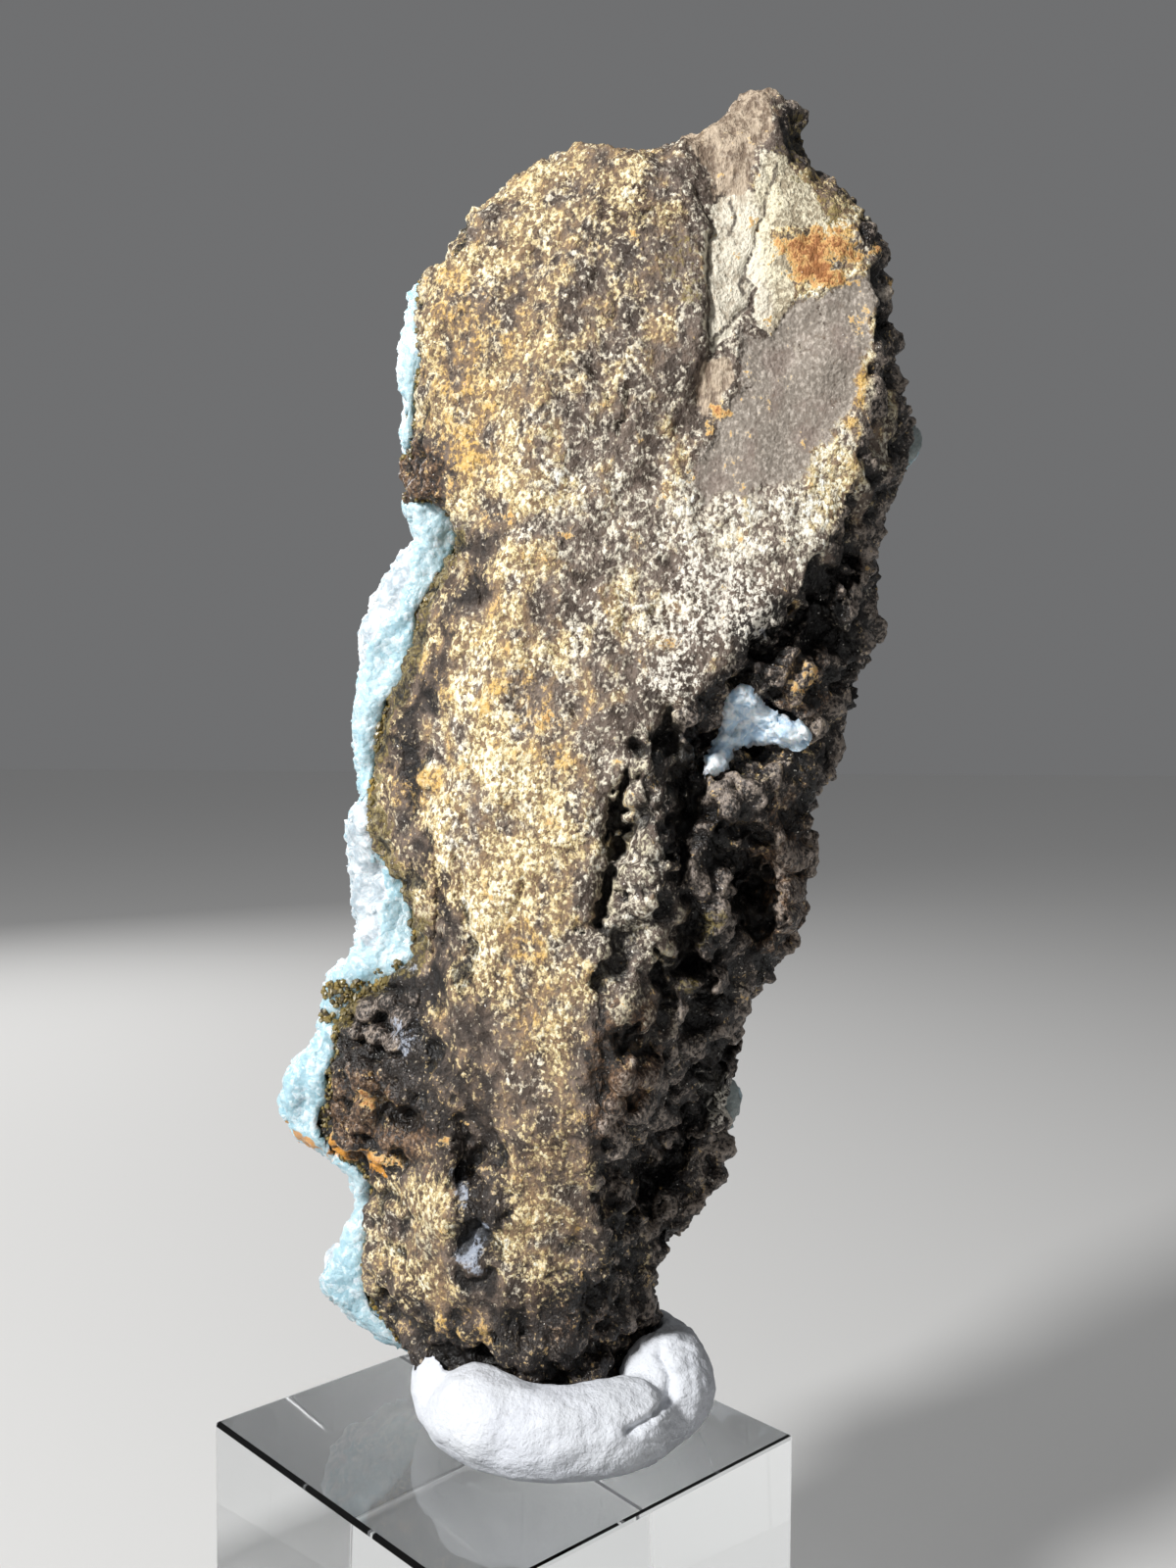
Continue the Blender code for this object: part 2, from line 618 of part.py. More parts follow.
def make_block():
    """The acrylic cube, its edges just broken."""
    bm = bmesh.new()
    bmesh.ops.create_cube(bm, size=BLOCK_SIDE * MM)
    mesh = bpy.data.meshes.new("acrylic_block")
    bm.to_mesh(mesh)
    bm.free()
    block = bpy.data.objects.new("acrylic_block", mesh)
    bpy.context.scene.collection.objects.link(block)
    block.location = (0, 0, BLOCK_SIDE * MM / 2)
    block.rotation_euler = (0, 0, math.radians(BLOCK_TURN_DEG))
    bevel = block.modifiers.new("broken edges", "BEVEL")
    bevel.width = BLOCK_BEVEL * MM
    bevel.segments = 2
    return block


def main():
    clear_scene()
    rock = make_rock()
    rock_cutter = grown_copy(rock, CUT_GAP)
    crust = make_crust(rock_cutter)
    pocket = make_pocket(rock_cutter)
    crust_cutter = grown_copy(crust, CUT_GAP)
    putty = make_putty([rock_cutter, crust_cutter])
    block = make_block()
    blue = material("hemimorphite", (0.34, 0.60, 0.66), 0.35)
    finish(rock, material("limonite", (0.22, 0.15, 0.08), 0.85), 30)
    finish(crust, blue, 40)
    finish(pocket, blue, 40)
    finish(putty, material("putty", (0.75, 0.75, 0.74), 0.8), 50)
    finish(block, material("acrylic", (0.95, 0.97, 0.98), 0.05, 1.0, 1.0, 1.49), 30)


main()
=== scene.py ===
"""Gives the hemimorphite specimen its surfaces: broken limonite, a lobed blue crust, putty and acrylic.

Shapes are worked in millimetres and stored in metres. The rock's markings are drawn as the viewer in
front of it sees them, on the upright plane y = 0, and are carried along the line of sight.
"""

import math

import bpy
import numpy as np
from mathutils import Matrix, Vector, noise
from mathutils.bvhtree import BVHTree


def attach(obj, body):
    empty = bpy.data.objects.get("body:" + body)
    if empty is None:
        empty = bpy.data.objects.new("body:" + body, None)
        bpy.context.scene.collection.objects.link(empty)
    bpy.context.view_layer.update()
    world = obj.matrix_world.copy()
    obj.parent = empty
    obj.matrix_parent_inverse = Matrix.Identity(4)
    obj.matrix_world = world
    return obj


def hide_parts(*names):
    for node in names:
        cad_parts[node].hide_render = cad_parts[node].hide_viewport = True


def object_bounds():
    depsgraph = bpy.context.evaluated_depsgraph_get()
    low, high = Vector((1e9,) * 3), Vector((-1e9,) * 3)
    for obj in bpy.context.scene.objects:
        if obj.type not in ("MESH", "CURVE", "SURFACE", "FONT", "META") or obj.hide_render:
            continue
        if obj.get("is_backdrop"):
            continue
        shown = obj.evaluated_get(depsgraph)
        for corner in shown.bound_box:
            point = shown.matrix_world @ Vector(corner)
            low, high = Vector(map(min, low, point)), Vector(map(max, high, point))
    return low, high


bl_info = {
    "name": "Hemimorphite Specimen",
    "version": (1, 0, 0),
    "blender": (4, 5, 0),
    "location": "View3D > Sidebar > Specimen",
    "description": "Surfaces, light and camera for a hemimorphite specimen on its stand",
    "category": "Add Mesh",
}

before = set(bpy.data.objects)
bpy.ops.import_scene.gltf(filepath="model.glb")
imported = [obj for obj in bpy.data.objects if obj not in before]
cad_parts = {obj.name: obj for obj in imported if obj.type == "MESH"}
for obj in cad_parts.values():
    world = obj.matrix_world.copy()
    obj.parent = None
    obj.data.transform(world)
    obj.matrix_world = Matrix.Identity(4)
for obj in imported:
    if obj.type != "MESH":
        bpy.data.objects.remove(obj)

MM = 0.001

# Corners of packed triangles that lie this close together, in millimetres, are one point
MERGE_REACH = 0.005
ROCK_TRIANGLES = 192000
CRUST_TRIANGLES = 170000

# The viewer's eye, in millimetres, and how the view is tilted
EYE = (10, -175.7, 137.5)
VIEW_PITCH_DEG = -2.93
VIEW_ROLL_DEG = 0.34
# The picture's long side covers this angle
VIEW_ANGLE_DEG = 55.87

# Where the limonite's lit face ends and the crust's broken edge begins, as seen: (x, z)
CRUST_EDGE = [
    (-12, 60), (-16.8, 66), (-16.2, 79), (-20, 84.6), (-22.6, 87.5), (-21.6, 91), (-22, 93.6), (-20.2, 98),
    (-18, 103.2), (-10.8, 106.6), (-9.8, 111), (-11.5, 116), (-15, 121), (-15.3, 129), (-14.8, 134),
    (-12, 141), (-10.5, 144), (-10, 149), (-7, 153), (-5.4, 158),
]
# The ridge between the lit face and the broken flank, as seen: (z, x)
RIDGE = [
    (50, 11), (60, 14), (70, 15), (80, 12.6), (90, 11.4), (110, 11), (128, 14), (138, 21), (142, 26),
    (148, 33), (154, 39.4), (160, 43.6), (166, 45.2), (184, 45.6), (191, 46), (198, 39.4), (204, 34.8),
    (212, 30.5),
]
# The smooth grey parting, where a layer has come off clean
SPALL_PLANE = [
    (27.4, 182), (31.1, 180.8), (33.3, 184.7), (36.5, 186.3), (39.3, 187.4), (43.3, 188.6), (44.1, 186.6),
    (42.9, 181.9), (41.3, 177.6), (40.3, 172.9), (37.7, 169), (34.9, 165.4), (31.7, 163.5), (26.9, 162.7),
    (23.3, 161.5), (22.1, 163.5), (23.8, 168.7), (26.2, 172.6), (28, 175.7), (27.8, 179.3),
]
CLAY_PATCHES = [
    [(24.4, 196.1), (27.8, 197.6), (29.4, 196.8), (30.2, 193.3), (29, 188.3), (28.2, 184.4), (26.6, 182),
     (23.8, 179.7), (23.4, 184.4), (23.8, 189.9)],
    [(30.3, 202.7), (32.1, 202.3), (33.7, 200.3), (34.9, 198.4), (37.7, 195.6), (40.9, 194.1),
     (38.9, 192.9), (34.1, 194.1), (30.2, 193.3), (29.4, 196.8), (29.2, 200)],
    [(30.2, 193.3), (32.9, 191.4), (33.7, 188.2), (33.3, 184.7), (31.1, 180.8), (30.2, 182.4), (29, 183.6),
     (29.8, 186.7), (29, 188.3)],
]
# The streaky taupe of the peak, and a small tongue of it under the clay
TAUPE_PATCHES = [[
    (18.4, 203.9), (24.9, 207.4), (28, 211.5), (31.3, 210.7), (31.5, 207.4), (30.4, 204.5), (29.1, 202.2),
    (28.6, 198.7), (27.5, 195.8), (24.9, 196.9), (23.4, 199.3), (22.2, 201.6), (20.5, 203.4),
], [
    (23.4, 179), (26.4, 178.6), (27.2, 176.5), (25.4, 174.2), (23.8, 171.6), (22.4, 170.8), (22.6, 174.6),
]]
# A thin hard layer on the left ends in a small step along this line
STEP_LINE = [
    (15.9, 202), (19.9, 200.4), (22.2, 198.1), (23.4, 196.1), (24, 193.4), (23.8, 189.9), (23.3, 185),
    (23.6, 180.5), (23.8, 179.3), (22.6, 177.3), (22.4, 174.6), (22.2, 172.2), (20.6, 170.3), (19.4, 169.1),
]
STEP_DROP = 0.6
# The crust's outer lobes, whitened, where they stand clear of the blue section, as seen
WHITE_LOBES = [
    [(-9.8, 157.4), (-10.4, 155.4), (-11.2, 152.9), (-12.3, 150.1), (-14.1, 148.1), (-15.3, 146),
     (-16.5, 143), (-16.9, 141.2), (-24, 140), (-24, 158)],
    [(-16.4, 126.8), (-15.2, 124), (-15.1, 119.8), (-14.4, 117.8), (-13.7, 115.8), (-14.3, 113.3),
     (-14.3, 111), (-16.2, 109), (-26, 109), (-26, 127)],
]
# Iron stain that has run along the crust's lower edge, as seen
RUSTY_SEAM = [(-25.4, 86.8), (-22.8, 85.6), (-20.2, 84.6), (-18.5, 83.8), (-16.3, 83), (-14.6, 81.8)]
# Where druse has grown out over the crust: (x, z, half width, half height, strength)
DRUSE_SPOTS = [
    (-19.6, 103.2, 1.3, 1.4, 1), (-21, 100.2, 0.7, 0.7, 1), (-14.8, 105.8, 0.5, 0.5, 1),
    (-14.9, 133, 0.7, 1, 1), (-15, 130.2, 0.6, 0.8, 1), (-15.2, 126, 0.8, 1.4, 1),
    (-14.9, 122.4, 1, 1.6, 1), (-17, 104.4, 1, 0.6, 1), (-12.6, 106.6, 0.8, 0.6, 1),
]
# The share of the crust's points in those spots that carry a druse crystal
DRUSE_SHARE = 0.9
# The smallest and the largest crystal's radius, in millimetres
DRUSE_RADII = (0.15, 0.4)
DRUSE_SEED = 11

# Round markings as seen, by colour: (x, z, half width, half height, strength)
RUST_SPOTS = [
    (36, 190.6, 3.8, 3, 1), (40.4, 190.8, 3.2, 1.4, 0.7), (38.4, 188, 1.8, 1.2, 0.8),
    (33.6, 192.6, 1.6, 1.6, 0.6), (31.2, 182.4, 1, 1.4, 0.55), (25.4, 172.4, 1.8, 0.7, 0.8),
    (23.8, 171.2, 1.2, 0.5, 0.7), (21.8, 164.7, 0.9, 0.7, 0.6), (-16.1, 90.4, 2.1, 0.8, 0.8),
    (-22.9, 85.8, 2.6, 0.8, 1), (-19.8, 84.2, 2.4, 0.8, 1), (-16.6, 83.2, 2.2, 0.9, 1),
    (-13.9, 83.4, 1.4, 0.7, 0.8), (-5.7, 88.2, 1.1, 0.7, 0.6), (-7, 85.6, 0.8, 0.5, 0.6),
    (15.8, 97, 1.2, 0.6, 0.6), (35.6, 141, 2.6, 2.2, 0.45), (-10, 164.6, 3.4, 4.6, 0.2),
    (24.6, 130, 0.9, 1.2, 0.5), (-2.6, 161.6, 1.1, 0.5, 0.62), (-1.2, 160.8, 1.1, 0.5, 0.62),
    (0.2, 159.9, 1.1, 0.5, 0.62), (7, 158.2, 1.6, 0.7, 0.42), (6, 135.6, 1.4, 1.6, 0.40),
    (14.6, 192.6, 1.2, 0.7, 0.4),
]
YELLOW_SPOTS = [
    (1.4, 138, 4.4, 5, 0.7), (5.9, 131, 2.4, 2, 0.8), (-8.9, 141, 3.8, 2.6, 0.6),
    (-10.2, 128, 3.2, 3.4, 0.8), (31.5, 130, 2.2, 1.6, 0.7), (36, 129.4, 2.2, 2, 0.8),
    (12, 192, 3, 1.6, 0.5), (-4, 179, 5, 9, 0.6), (36.5, 198.5, 2.4, 5.6, 0.3), (-6, 168.6, 4, 5, 0.8),
    (40.8, 175, 2, 8, 0.9), (24.6, 176.6, 1.8, 1.8, 0.6), (-5, 62.6, 4, 2.6, 0.7),
    (31, 184.6, 1.4, 2.6, 0.8), (3, 106, 3, 8, 0.5), (-6, 186, 3, 3, 0.6), (33, 190, 3, 4, 0.7),
    (40, 192.6, 3.6, 2, 0.7), (31.4, 197, 1.2, 3, 0.6),
]
CREAM_SPOTS = [
    (24.8, 152.6, 7, 4, 0.9), (28.2, 149, 5, 5, 0.9), (22, 147.4, 6.6, 4.8, 0.85),
    (19.6, 141.2, 3.8, 4, 0.9), (11.4, 149, 5, 3.6, 0.5), (14.6, 163.4, 6, 3, 0.4), (16.4, 114, 3, 9, 0.4),
    (28, 161, 8, 2.6, 0.4), (25.6, 90.2, 2.2, 3.6, 1.1), (18.8, 127.6, 2.4, 3, 0.5),
    (-8.6, 188, 2.4, 4, 0.3), (34.6, 163, 5, 2, 0.4),
]
OLIVE_SPOTS = [
    (20.2, 189, 2.8, 7, 0.55), (14, 196, 6, 3, 0.4), (13.6, 178, 4.6, 6, 0.3), (24, 111.3, 1.6, 2.4, 0.8),
    (21.6, 104, 1.4, 1.6, 0.7), (-19.6, 100.8, 1.8, 1.8, 1), (34.4, 203, 3, 6, 0.62),
    (38.6, 196.4, 3, 2, 0.6), (-12, 186, 1.6, 5, 0.4), (32, 198, 1.6, 3, 0.4),
]
# Slate-grey crystals; the spot at (-12.2, 99.6) is a painted grey-blue sheen on the nodules in the hollow
SLATE_SPOTS = [
    (-3.4, 72.6, 1.5, 3.4, 0.9), (-4.2, 78.4, 0.9, 2.4, 0.7), (-10.6, 97.6, 2.2, 2.2, 0.5),
    (-12.2, 99.6, 2.2, 2.2, 0.6), (-12.6, 106, 2, 2, 0.5), (-5, 80, 1.4, 4, 0.5), (12, 112, 1.4, 3, 0.3),
    (30, 146.6, 2, 1.2, 0.5), (16, 203.4, 6, 0.9, 0.3),
]
# How golden the grains are, from grey 0 to gold 1: (x, z, half width, half height, level)
WARMTH = [
    (-4, 176, 8, 14, 1), (8, 196, 8, 6, 0.8), (16, 186, 6, 10, 0.6), (12, 168, 8, 8, 0.45),
    (-4, 140, 8, 12, 0.9), (-8, 118, 6, 14, 0.9), (3, 112, 5, 18, 0.95), (12, 146, 8, 8, 0.5),
    (27, 152, 10, 8, 0.15), (38, 166, 6, 6, 0.6), (41, 178, 3, 8, 0.8), (2, 72, 10, 8, 0.95),
    (4, 92, 5, 8, 0.9), (27, 200, 5, 8, 0.4), (18, 118, 5, 16, 0.2), (33, 130, 5, 4, 0.8),
    (-8, 66, 7, 6, 0.95), (34, 196, 4, 6, 1), (25, 188, 3, 7, 0),
]
# How much of the dark ground the tan grains hide: (x, z, half width, half height, share). Where the share
# is low the ground goes near black, which at the bottom, in the hollows and on the flank is partly painted
# shade
GRAIN_COVER = [
    (-4, 186, 7, 9, 0.55), (8, 197, 9, 5, 0.50), (16, 190, 7, 8, 0.40), (-5, 173, 6, 9, 0.66),
    (7, 178, 8, 9, 0.50), (16, 174, 6, 8, 0.42), (2, 164, 8, 5, 0.62), (14, 163, 8, 5, 0.62),
    (-3, 151, 5, 6, 0.50), (6, 150, 7, 6, 0.52), (17, 152, 7, 6, 0.54), (30, 158, 9, 4, 0.72),
    (36, 166, 5, 5, 0.76), (41, 174, 3, 8, 0.72), (0, 140, 8, 6, 0.72), (10, 138, 5, 8, 0.40),
    (-11, 137, 4, 6, 0.42), (-10, 126, 5, 8, 0.60), (1, 126, 8, 8, 0.72), (9, 120, 4, 8, 0.50),
    (-5, 112, 5, 8, 0.58), (5, 108, 5, 9, 0.60), (-5, 99, 4, 6, 0.26), (5, 96, 5, 7, 0.50),
    (-6, 90, 4, 5, 0.22), (3, 84, 5, 6, 0.34), (-10, 75, 5, 7, 0.62), (6, 75, 5, 5, 0.60),
    (-9, 68, 5, 4, 0.34), (2, 68, 5, 3, 0.48), (-6, 61.6, 6, 3.4, 0.48), (8, 61, 8, 5, 0.04),
    (13, 70, 4, 7, 0.20), (-16, 100, 6, 6, 0.02), (-16, 89, 7, 7, 0.04), (16, 126, 4, 6, 0.5),
    (17, 104, 4, 6, 0.44), (15, 92, 5, 6, 0.12), (27, 120, 6, 10, 0.10), (22, 82, 7, 12, 0.04),
    (36, 146, 6, 5, 0.14), (42, 156, 4, 6, 0.16), (32, 205, 4, 5, 0.44), (-10, 182, 2, 8, 0.5),
    (33, 130, 5, 4, 0.24), (27, 200, 4, 4, 0.46), (36, 104, 4, 8, 0.06), (-10, 164, 2.8, 4, 0),
    (16, 116, 4, 8, 0.62), (8, 57, 12, 5, 0), (0, 63, 4, 3, 0.2), (-3, 77, 2, 6, 0.05), (12, 62, 5, 4, 0),
    (-12, 60, 5, 3, 0.1),
]
# Browner, iron-soaked lumps: (x, z, half width, half height, strength)
BROWN_SPOTS = [
    (-10, 164.6, 3.2, 4.6, 1), (-17, 89, 4.4, 4.6, 0.9), (-12, 86, 3.4, 3.4, 0.8), (14.8, 96, 4.6, 8, 0.9),
    (36, 140, 4.4, 4.6, 0.6), (33, 118, 5.4, 12, 0.6), (12, 88, 2.4, 2.4, 0.6), (-9, 84, 2, 4, 0.5),
    (30, 100, 6, 6, 0.3), (9, 64, 6, 5, 0.4), (14, 190, 3, 8, 0.35),
]
# Broken ground left of the ridge: (x, z, half width, half height, strength)
BROKEN_PATCHES = [
    (-15.5, 92, 7, 13, 1), (2, 57, 17, 6, 0.9), (-3, 77, 3, 10, 0.7), (-10, 163, 3.2, 4, 0.7),
    (13, 64, 6, 9, 0.9), (-14, 66, 4, 5, 0.7), (-12, 122, 2.4, 14, 0.3), (5, 56, 14, 5, 0.9),
]
# Where the flank is less broken: (x, z, half width, half height, strength)
MILD_PATCHES = [
    (14.6, 97, 4.6, 8, 0.65), (18, 118, 3, 10, 0.35), (32, 114, 4, 8, 0.25),
]

# Cracks and slots cut into the rock, as seen: (half width, depth, [(x, z), ...]). Where they cut deep, they
# also get black painted shade
CRACKS = [
    (0.30, 0.7, [(22.4, 198), (23.9, 195.6), (24.5, 193), (24.2, 189.6), (23.7, 185), (24, 180.6)]),
    (0.25, 0.6, [(23.8, 179.6), (25.2, 180.9), (26.5, 182.9), (29.2, 185.5), (28.1, 188.7), (29.1, 193.2)]),
    (0.25, 0.5, [(29.1, 193.2), (30, 195.8), (30.7, 198.1), (30.2, 200.4)]),
    (0.9, 3.4, [(14.8, 130), (14.3, 127), (13.5, 122.4), (12.8, 119.4)]),
    (0.9, 3, [(12.3, 117.4), (11.7, 114), (10.9, 111.4)]),
    (0.8, 2.6, [(19.2, 137.2), (19, 135), (19.4, 133)]),
    (1.3, 3.4, [(22.2, 134), (21.4, 130), (21.2, 125)]),
    (0.9, 3, [(21.2, 122.4), (21.1, 120), (21.3, 117.4)]),
    (1.4, 3.6, [(21.8, 110.4), (22.8, 107.6), (24, 104.8)]),
    (0.7, 2.4, [(18.6, 108.4), (19.1, 106), (19.8, 102.8)]),
    (1.9, 3.4, [(29, 119), (29.2, 115.6), (30.6, 112.4)]),
    (0.9, 2.2, [(26.4, 123.2), (28.6, 122.8), (30.8, 122.4)]),
    (0.8, 2.6, [(27.6, 141.6), (31.4, 144.6), (35.2, 147.6), (39, 151), (41.2, 155)]),
    (0.6, 1.8, [(30.2, 144.8), (32.6, 147.6), (33.6, 149.6)]),
    (0.6, 1.6, [(34.6, 142.2), (36.4, 144.6), (38.2, 147)]),
    (1.2, 3, [(26.6, 96), (24, 90), (20, 83), (17, 76)]),
    (0.9, 2.4, [(14.4, 100), (15.6, 97), (18, 96)]),
    (0.30, 0.9, [(7.4, 137.6), (8.1, 136.4)]),
    (0.30, 0.8, [(17.8, 149.6), (18.4, 148.2)]),
    (0.34, 0.9, [(10.3, 178), (10.9, 176), (11.7, 173.6)]),
    (0.36, 0.9, [(14, 174.6), (13.7, 172), (13.4, 169.4)]),
    (0.30, 0.7, [(11.8, 188), (12.6, 185.4), (12.8, 183)]),
    (0.34, 0.8, [(4, 90.4), (7.4, 88.6), (8.8, 88.2)]),
    (0.6, 1.2, [(-5.4, 88.6), (-4.8, 84), (-3.4, 79.6)]),
    (0.5, 1, [(-8, 158), (-4.4, 154.6), (-3.2, 150)]),
    (0.34, 0.6, [(13.2, 153.6), (14.4, 150.2), (14, 147)]),
    (0.34, 0.6, [(2.4, 120), (2, 114), (2.6, 108)]),
    (0.4, 0.7, [(-4.4, 124), (-5.2, 117), (-4.2, 110), (-3.8, 103)]),
    (0.5, 0.9, [(-7.6, 119), (-7.4, 113), (-8, 108)]),
]
# Where the flank swells out into the light: (x, z, half width, half height, rise)
SWELLS = [
    (15, 96.5, 4.4, 9, 3.2), (18, 119, 3.4, 12, 1.8), (31.6, 116, 4.2, 9, 3), (24.6, 106, 3, 7, 2),
    (36, 131, 4, 4, 1.4),
]
# Hairline cracks as seen, too fine to cut, and how far off the front is out of their stain's reach
HAIRLINE_REACH = 4.0
HAIRLINES = [
    [(31.4, 201), (30.7, 198.1), (30, 195.8), (29.1, 193.2), (28.6, 190.6), (28.1, 188.7), (29.3, 186.6),
     (29, 185.2), (27.6, 184), (26.5, 182.9), (25, 181.6), (24, 180.2)],
    [(22.4, 198), (23.7, 195.6), (24.2, 192.8), (24, 189.6), (23.5, 185), (23.9, 180.4), (22.5, 178.2),
     (22.2, 175.8), (21.1, 172.6), (19.6, 169.4)],
    [(28.1, 188.7), (27.3, 187.4), (27.9, 186)],
    [(26.4, 196.6), (26.9, 194.8), (26.3, 193)],
]
# Thin raised veins as seen: (half width, height, [(x, z), ...])
VEINS = [
    (0.4, 0.6, [(-10.6, 91), (-8.5, 87.6), (-6.9, 84.6), (-6.2, 82)]),
    (0.4, 0.7, [(8.2, 88), (9.2, 89.2), (10, 86), (11.7, 87.3)]),
    (0.36, 0.5, [(10.4, 86), (9.8, 82), (10.8, 78)]),
    (0.5, 0.7, [(9.5, 194.2), (14.3, 195.4), (17.5, 196.1), (19.8, 195), (21.8, 192.2)]),
]
# Round nodules in the hollows: (x, z, radius, height)
NODULES = [
    (-16.6, 101.2, 1.6, 1.1), (-14.2, 102.2, 1.4, 1), (-12.4, 100.2, 1.7, 1.1), (-15.5, 98.4, 1.4, 1),
    (-13.4, 97.6, 1.5, 1), (-17.8, 98.8, 1.2, 0.9), (-18.6, 101.6, 1.1, 0.8), (-11.2, 102.8, 1.2, 0.9),
    (13.6, 90.4, 1.6, 1.1), (15.8, 88.8, 1.3, 1), (17.4, 90.6, 1.4, 1), (14.6, 93.4, 1.9, 1.1),
    (17.6, 93.8, 1.7, 1), (12.4, 87.4, 1.1, 0.8), (19.4, 89, 1, 0.8), (33.6, 112.4, 1.7, 1),
    (34.6, 116.2, 1.8, 1), (34, 108.6, 1.4, 0.9), (33.6, 120.4, 1.9, 1), (26.8, 126, 1.6, 0.8),
]
# How wide the rock's relief is, in millimetres
SWELL_SIZE = 8.0
LACE_SIZE = 2.7
GRIT_SIZE = 1.0
LUMP_SIZE = 3.4
KNOT_SIZE = 1.7
FACET_SIZE = 2.6
PIT_SIZE = 3.4
# Of the swirls that bend the lumps, on the rock and on the crust
SWIRL_SEED = 7


class RockSettings(bpy.types.PropertyGroup):
    """Sizes and colours of the limonite"""

    skin: bpy.props.FloatProperty(
        name="Skin", description="Edge of the rock's mesh faces", default=0.37 * MM, unit="LENGTH")
    ground: bpy.props.StringProperty(
        name="Ground", description="Dark goethite under the grains", default="#463a31")
    dust: bpy.props.StringProperty(
        name="Dust", description="Worn and dusty ground", default="#7c6c60")
    grain: bpy.props.StringProperty(
        name="Grain", description="Tan limonite grains", default="#a3906f")
    gold: bpy.props.StringProperty(
        name="Gold", description="Yellow tops of the grains", default="#d5be88")
    cream: bpy.props.StringProperty(
        name="Cream", description="White grains", default="#f3e9c6")
    plane: bpy.props.StringProperty(
        name="Spall plane", description="Smooth grey parting", default="#877d72")
    clay: bpy.props.StringProperty(
        name="Clay", description="Pale clay film", default="#e9e1cd")
    rust: bpy.props.StringProperty(
        name="Rust", description="Orange iron stain", default="#d59f64")
    olive: bpy.props.StringProperty(
        name="Olive", description="Olive coat by the crust", default="#7b6c3a")
    druse_count: bpy.props.IntProperty(
        name="Druse grains", description="Small crystals along the crust", default=4200)


class CrustSettings(bpy.types.PropertyGroup):
    """Sizes and colours of the hemimorphite"""

    skin: bpy.props.FloatProperty(
        name="Skin", description="Edge of the crust's mesh faces", default=0.45 * MM, unit="LENGTH")
    bubble: bpy.props.FloatProperty(
        name="Bubble", description="Spacing of the small lobes", default=4.6 * MM, unit="LENGTH")
    blue: bpy.props.StringProperty(
        name="Blue", description="Body of the crust", default="#b8d2da")
    # The deep blue tints the crust here and there, and is painted shade in the hollows between the lobes
    deep: bpy.props.StringProperty(
        name="Deep blue", description="Hollows between the lobes", default="#96bfcd")
    # The rim whitens the broken edges and, as a painted highlight, the lobes' tops
    rim: bpy.props.StringProperty(
        name="Rim", description="Whitened tops and broken edges", default="#d5dde2")


class StandSettings(bpy.types.PropertyGroup):
    """Sizes and colours of the putty and the acrylic"""

    putty_skin: bpy.props.FloatProperty(
        name="Putty skin", description="Edge of the putty's mesh faces", default=0.34 * MM, unit="LENGTH")
    putty: bpy.props.StringProperty(
        name="Putty", description="Grey-white mounting putty", default="#dbdee3")
    acrylic: bpy.props.StringProperty(
        name="Acrylic", description="Clear cast acrylic", default="#f7f9fa")


class StudioSettings(bpy.types.PropertyGroup):
    """Floor, lamps and air"""

    floor: bpy.props.StringProperty(
        name="Floor", description="Pale floor", default="#c9c8c6")
    glow: bpy.props.FloatProperty(
        name="Floor glow", description="Light of the floor itself, seen through the block", default=0.06)
    key_power: bpy.props.FloatProperty(
        name="Key", description="Power of the key lamp in watts", default=7.4)
    back_power: bpy.props.FloatProperty(
        name="Back", description="Power of the rear lamp in watts", default=2.0)
    air: bpy.props.FloatProperty(
        name="Air", description="Strength of the surrounding light", default=0.18)


# Shader nodes

def linear(hex_colour):
    """An sRGB hex colour as linear red, green, blue and alpha."""
    parts = [int(hex_colour[i:i + 2], 16) / 255 for i in (1, 3, 5)]
    return (*[c / 12.92 if c <= 0.04045 else ((c + 0.055) / 1.055) ** 2.4 for c in parts], 1.0)


def per_metre(size_mm):
    """A texture's scale for a pattern of this size on Object coordinates."""
    return 1000.0 / size_mm


def add_node(tree, kind, settings=None, inputs=None, out=0):
    """Adds a node and returns one of its outputs. Inputs are values or outputs of other nodes."""
    made = tree.nodes.new("ShaderNode" + kind)
    for name, value in (settings or {}).items():
        if name == "stops":
            ramp = made.color_ramp.elements
            stops = [(position, linear(colour)) for position, colour in value]
            ramp[0].position, ramp[0].color = stops[0]
            ramp[1].position, ramp[1].color = stops[-1]
            for position, colour in stops[1:-1]:
                ramp.new(position).color = colour
        else:
            setattr(made, name, value)
    for key, value in (inputs or {}).items():
        if isinstance(value, bpy.types.NodeSocket):
            tree.links.new(value, made.inputs[key])
        else:
            made.inputs[key].default_value = value
    return made.outputs[out]


def new_material(name):
    """A material, its node tree, its shader and its Object coordinates."""
    made = bpy.data.materials.new(name)
    made.use_nodes = True
    tree = made.node_tree
    return made, tree, tree.nodes["Principled BSDF"], add_node(tree, "TexCoord", out="Object")


def weighed(tree, parts, level=0.0):
    """The sum of signals, each centred on its middle value and weighed: (signal, middle, weight)."""
    total = level
    for signal, middle, weight in parts:
        part = add_node(
            tree, "Math", {"operation": "MULTIPLY_ADD"}, {0: signal, 1: weight, 2: -middle * weight})
        total = add_node(tree, "Math", {"operation": "ADD"}, {0: part, 1: total})
    return total


def stained(tree, colour, stain, level, low, high, most=1.0):
    """Lays a stain over a colour: none where the level is under low, and full above high."""
    colour, stain = (linear(tone) if isinstance(tone, str) else tone for tone in (colour, stain))
    share = add_node(
        tree, "MapRange", {"interpolation_type": "SMOOTHSTEP"},
        {"Value": level, "From Min": low, "From Max": high, "To Max": most})
    return add_node(tree, "Mix", {"data_type": "RGBA"}, {0: share, 6: colour, 7: stain}, 2)


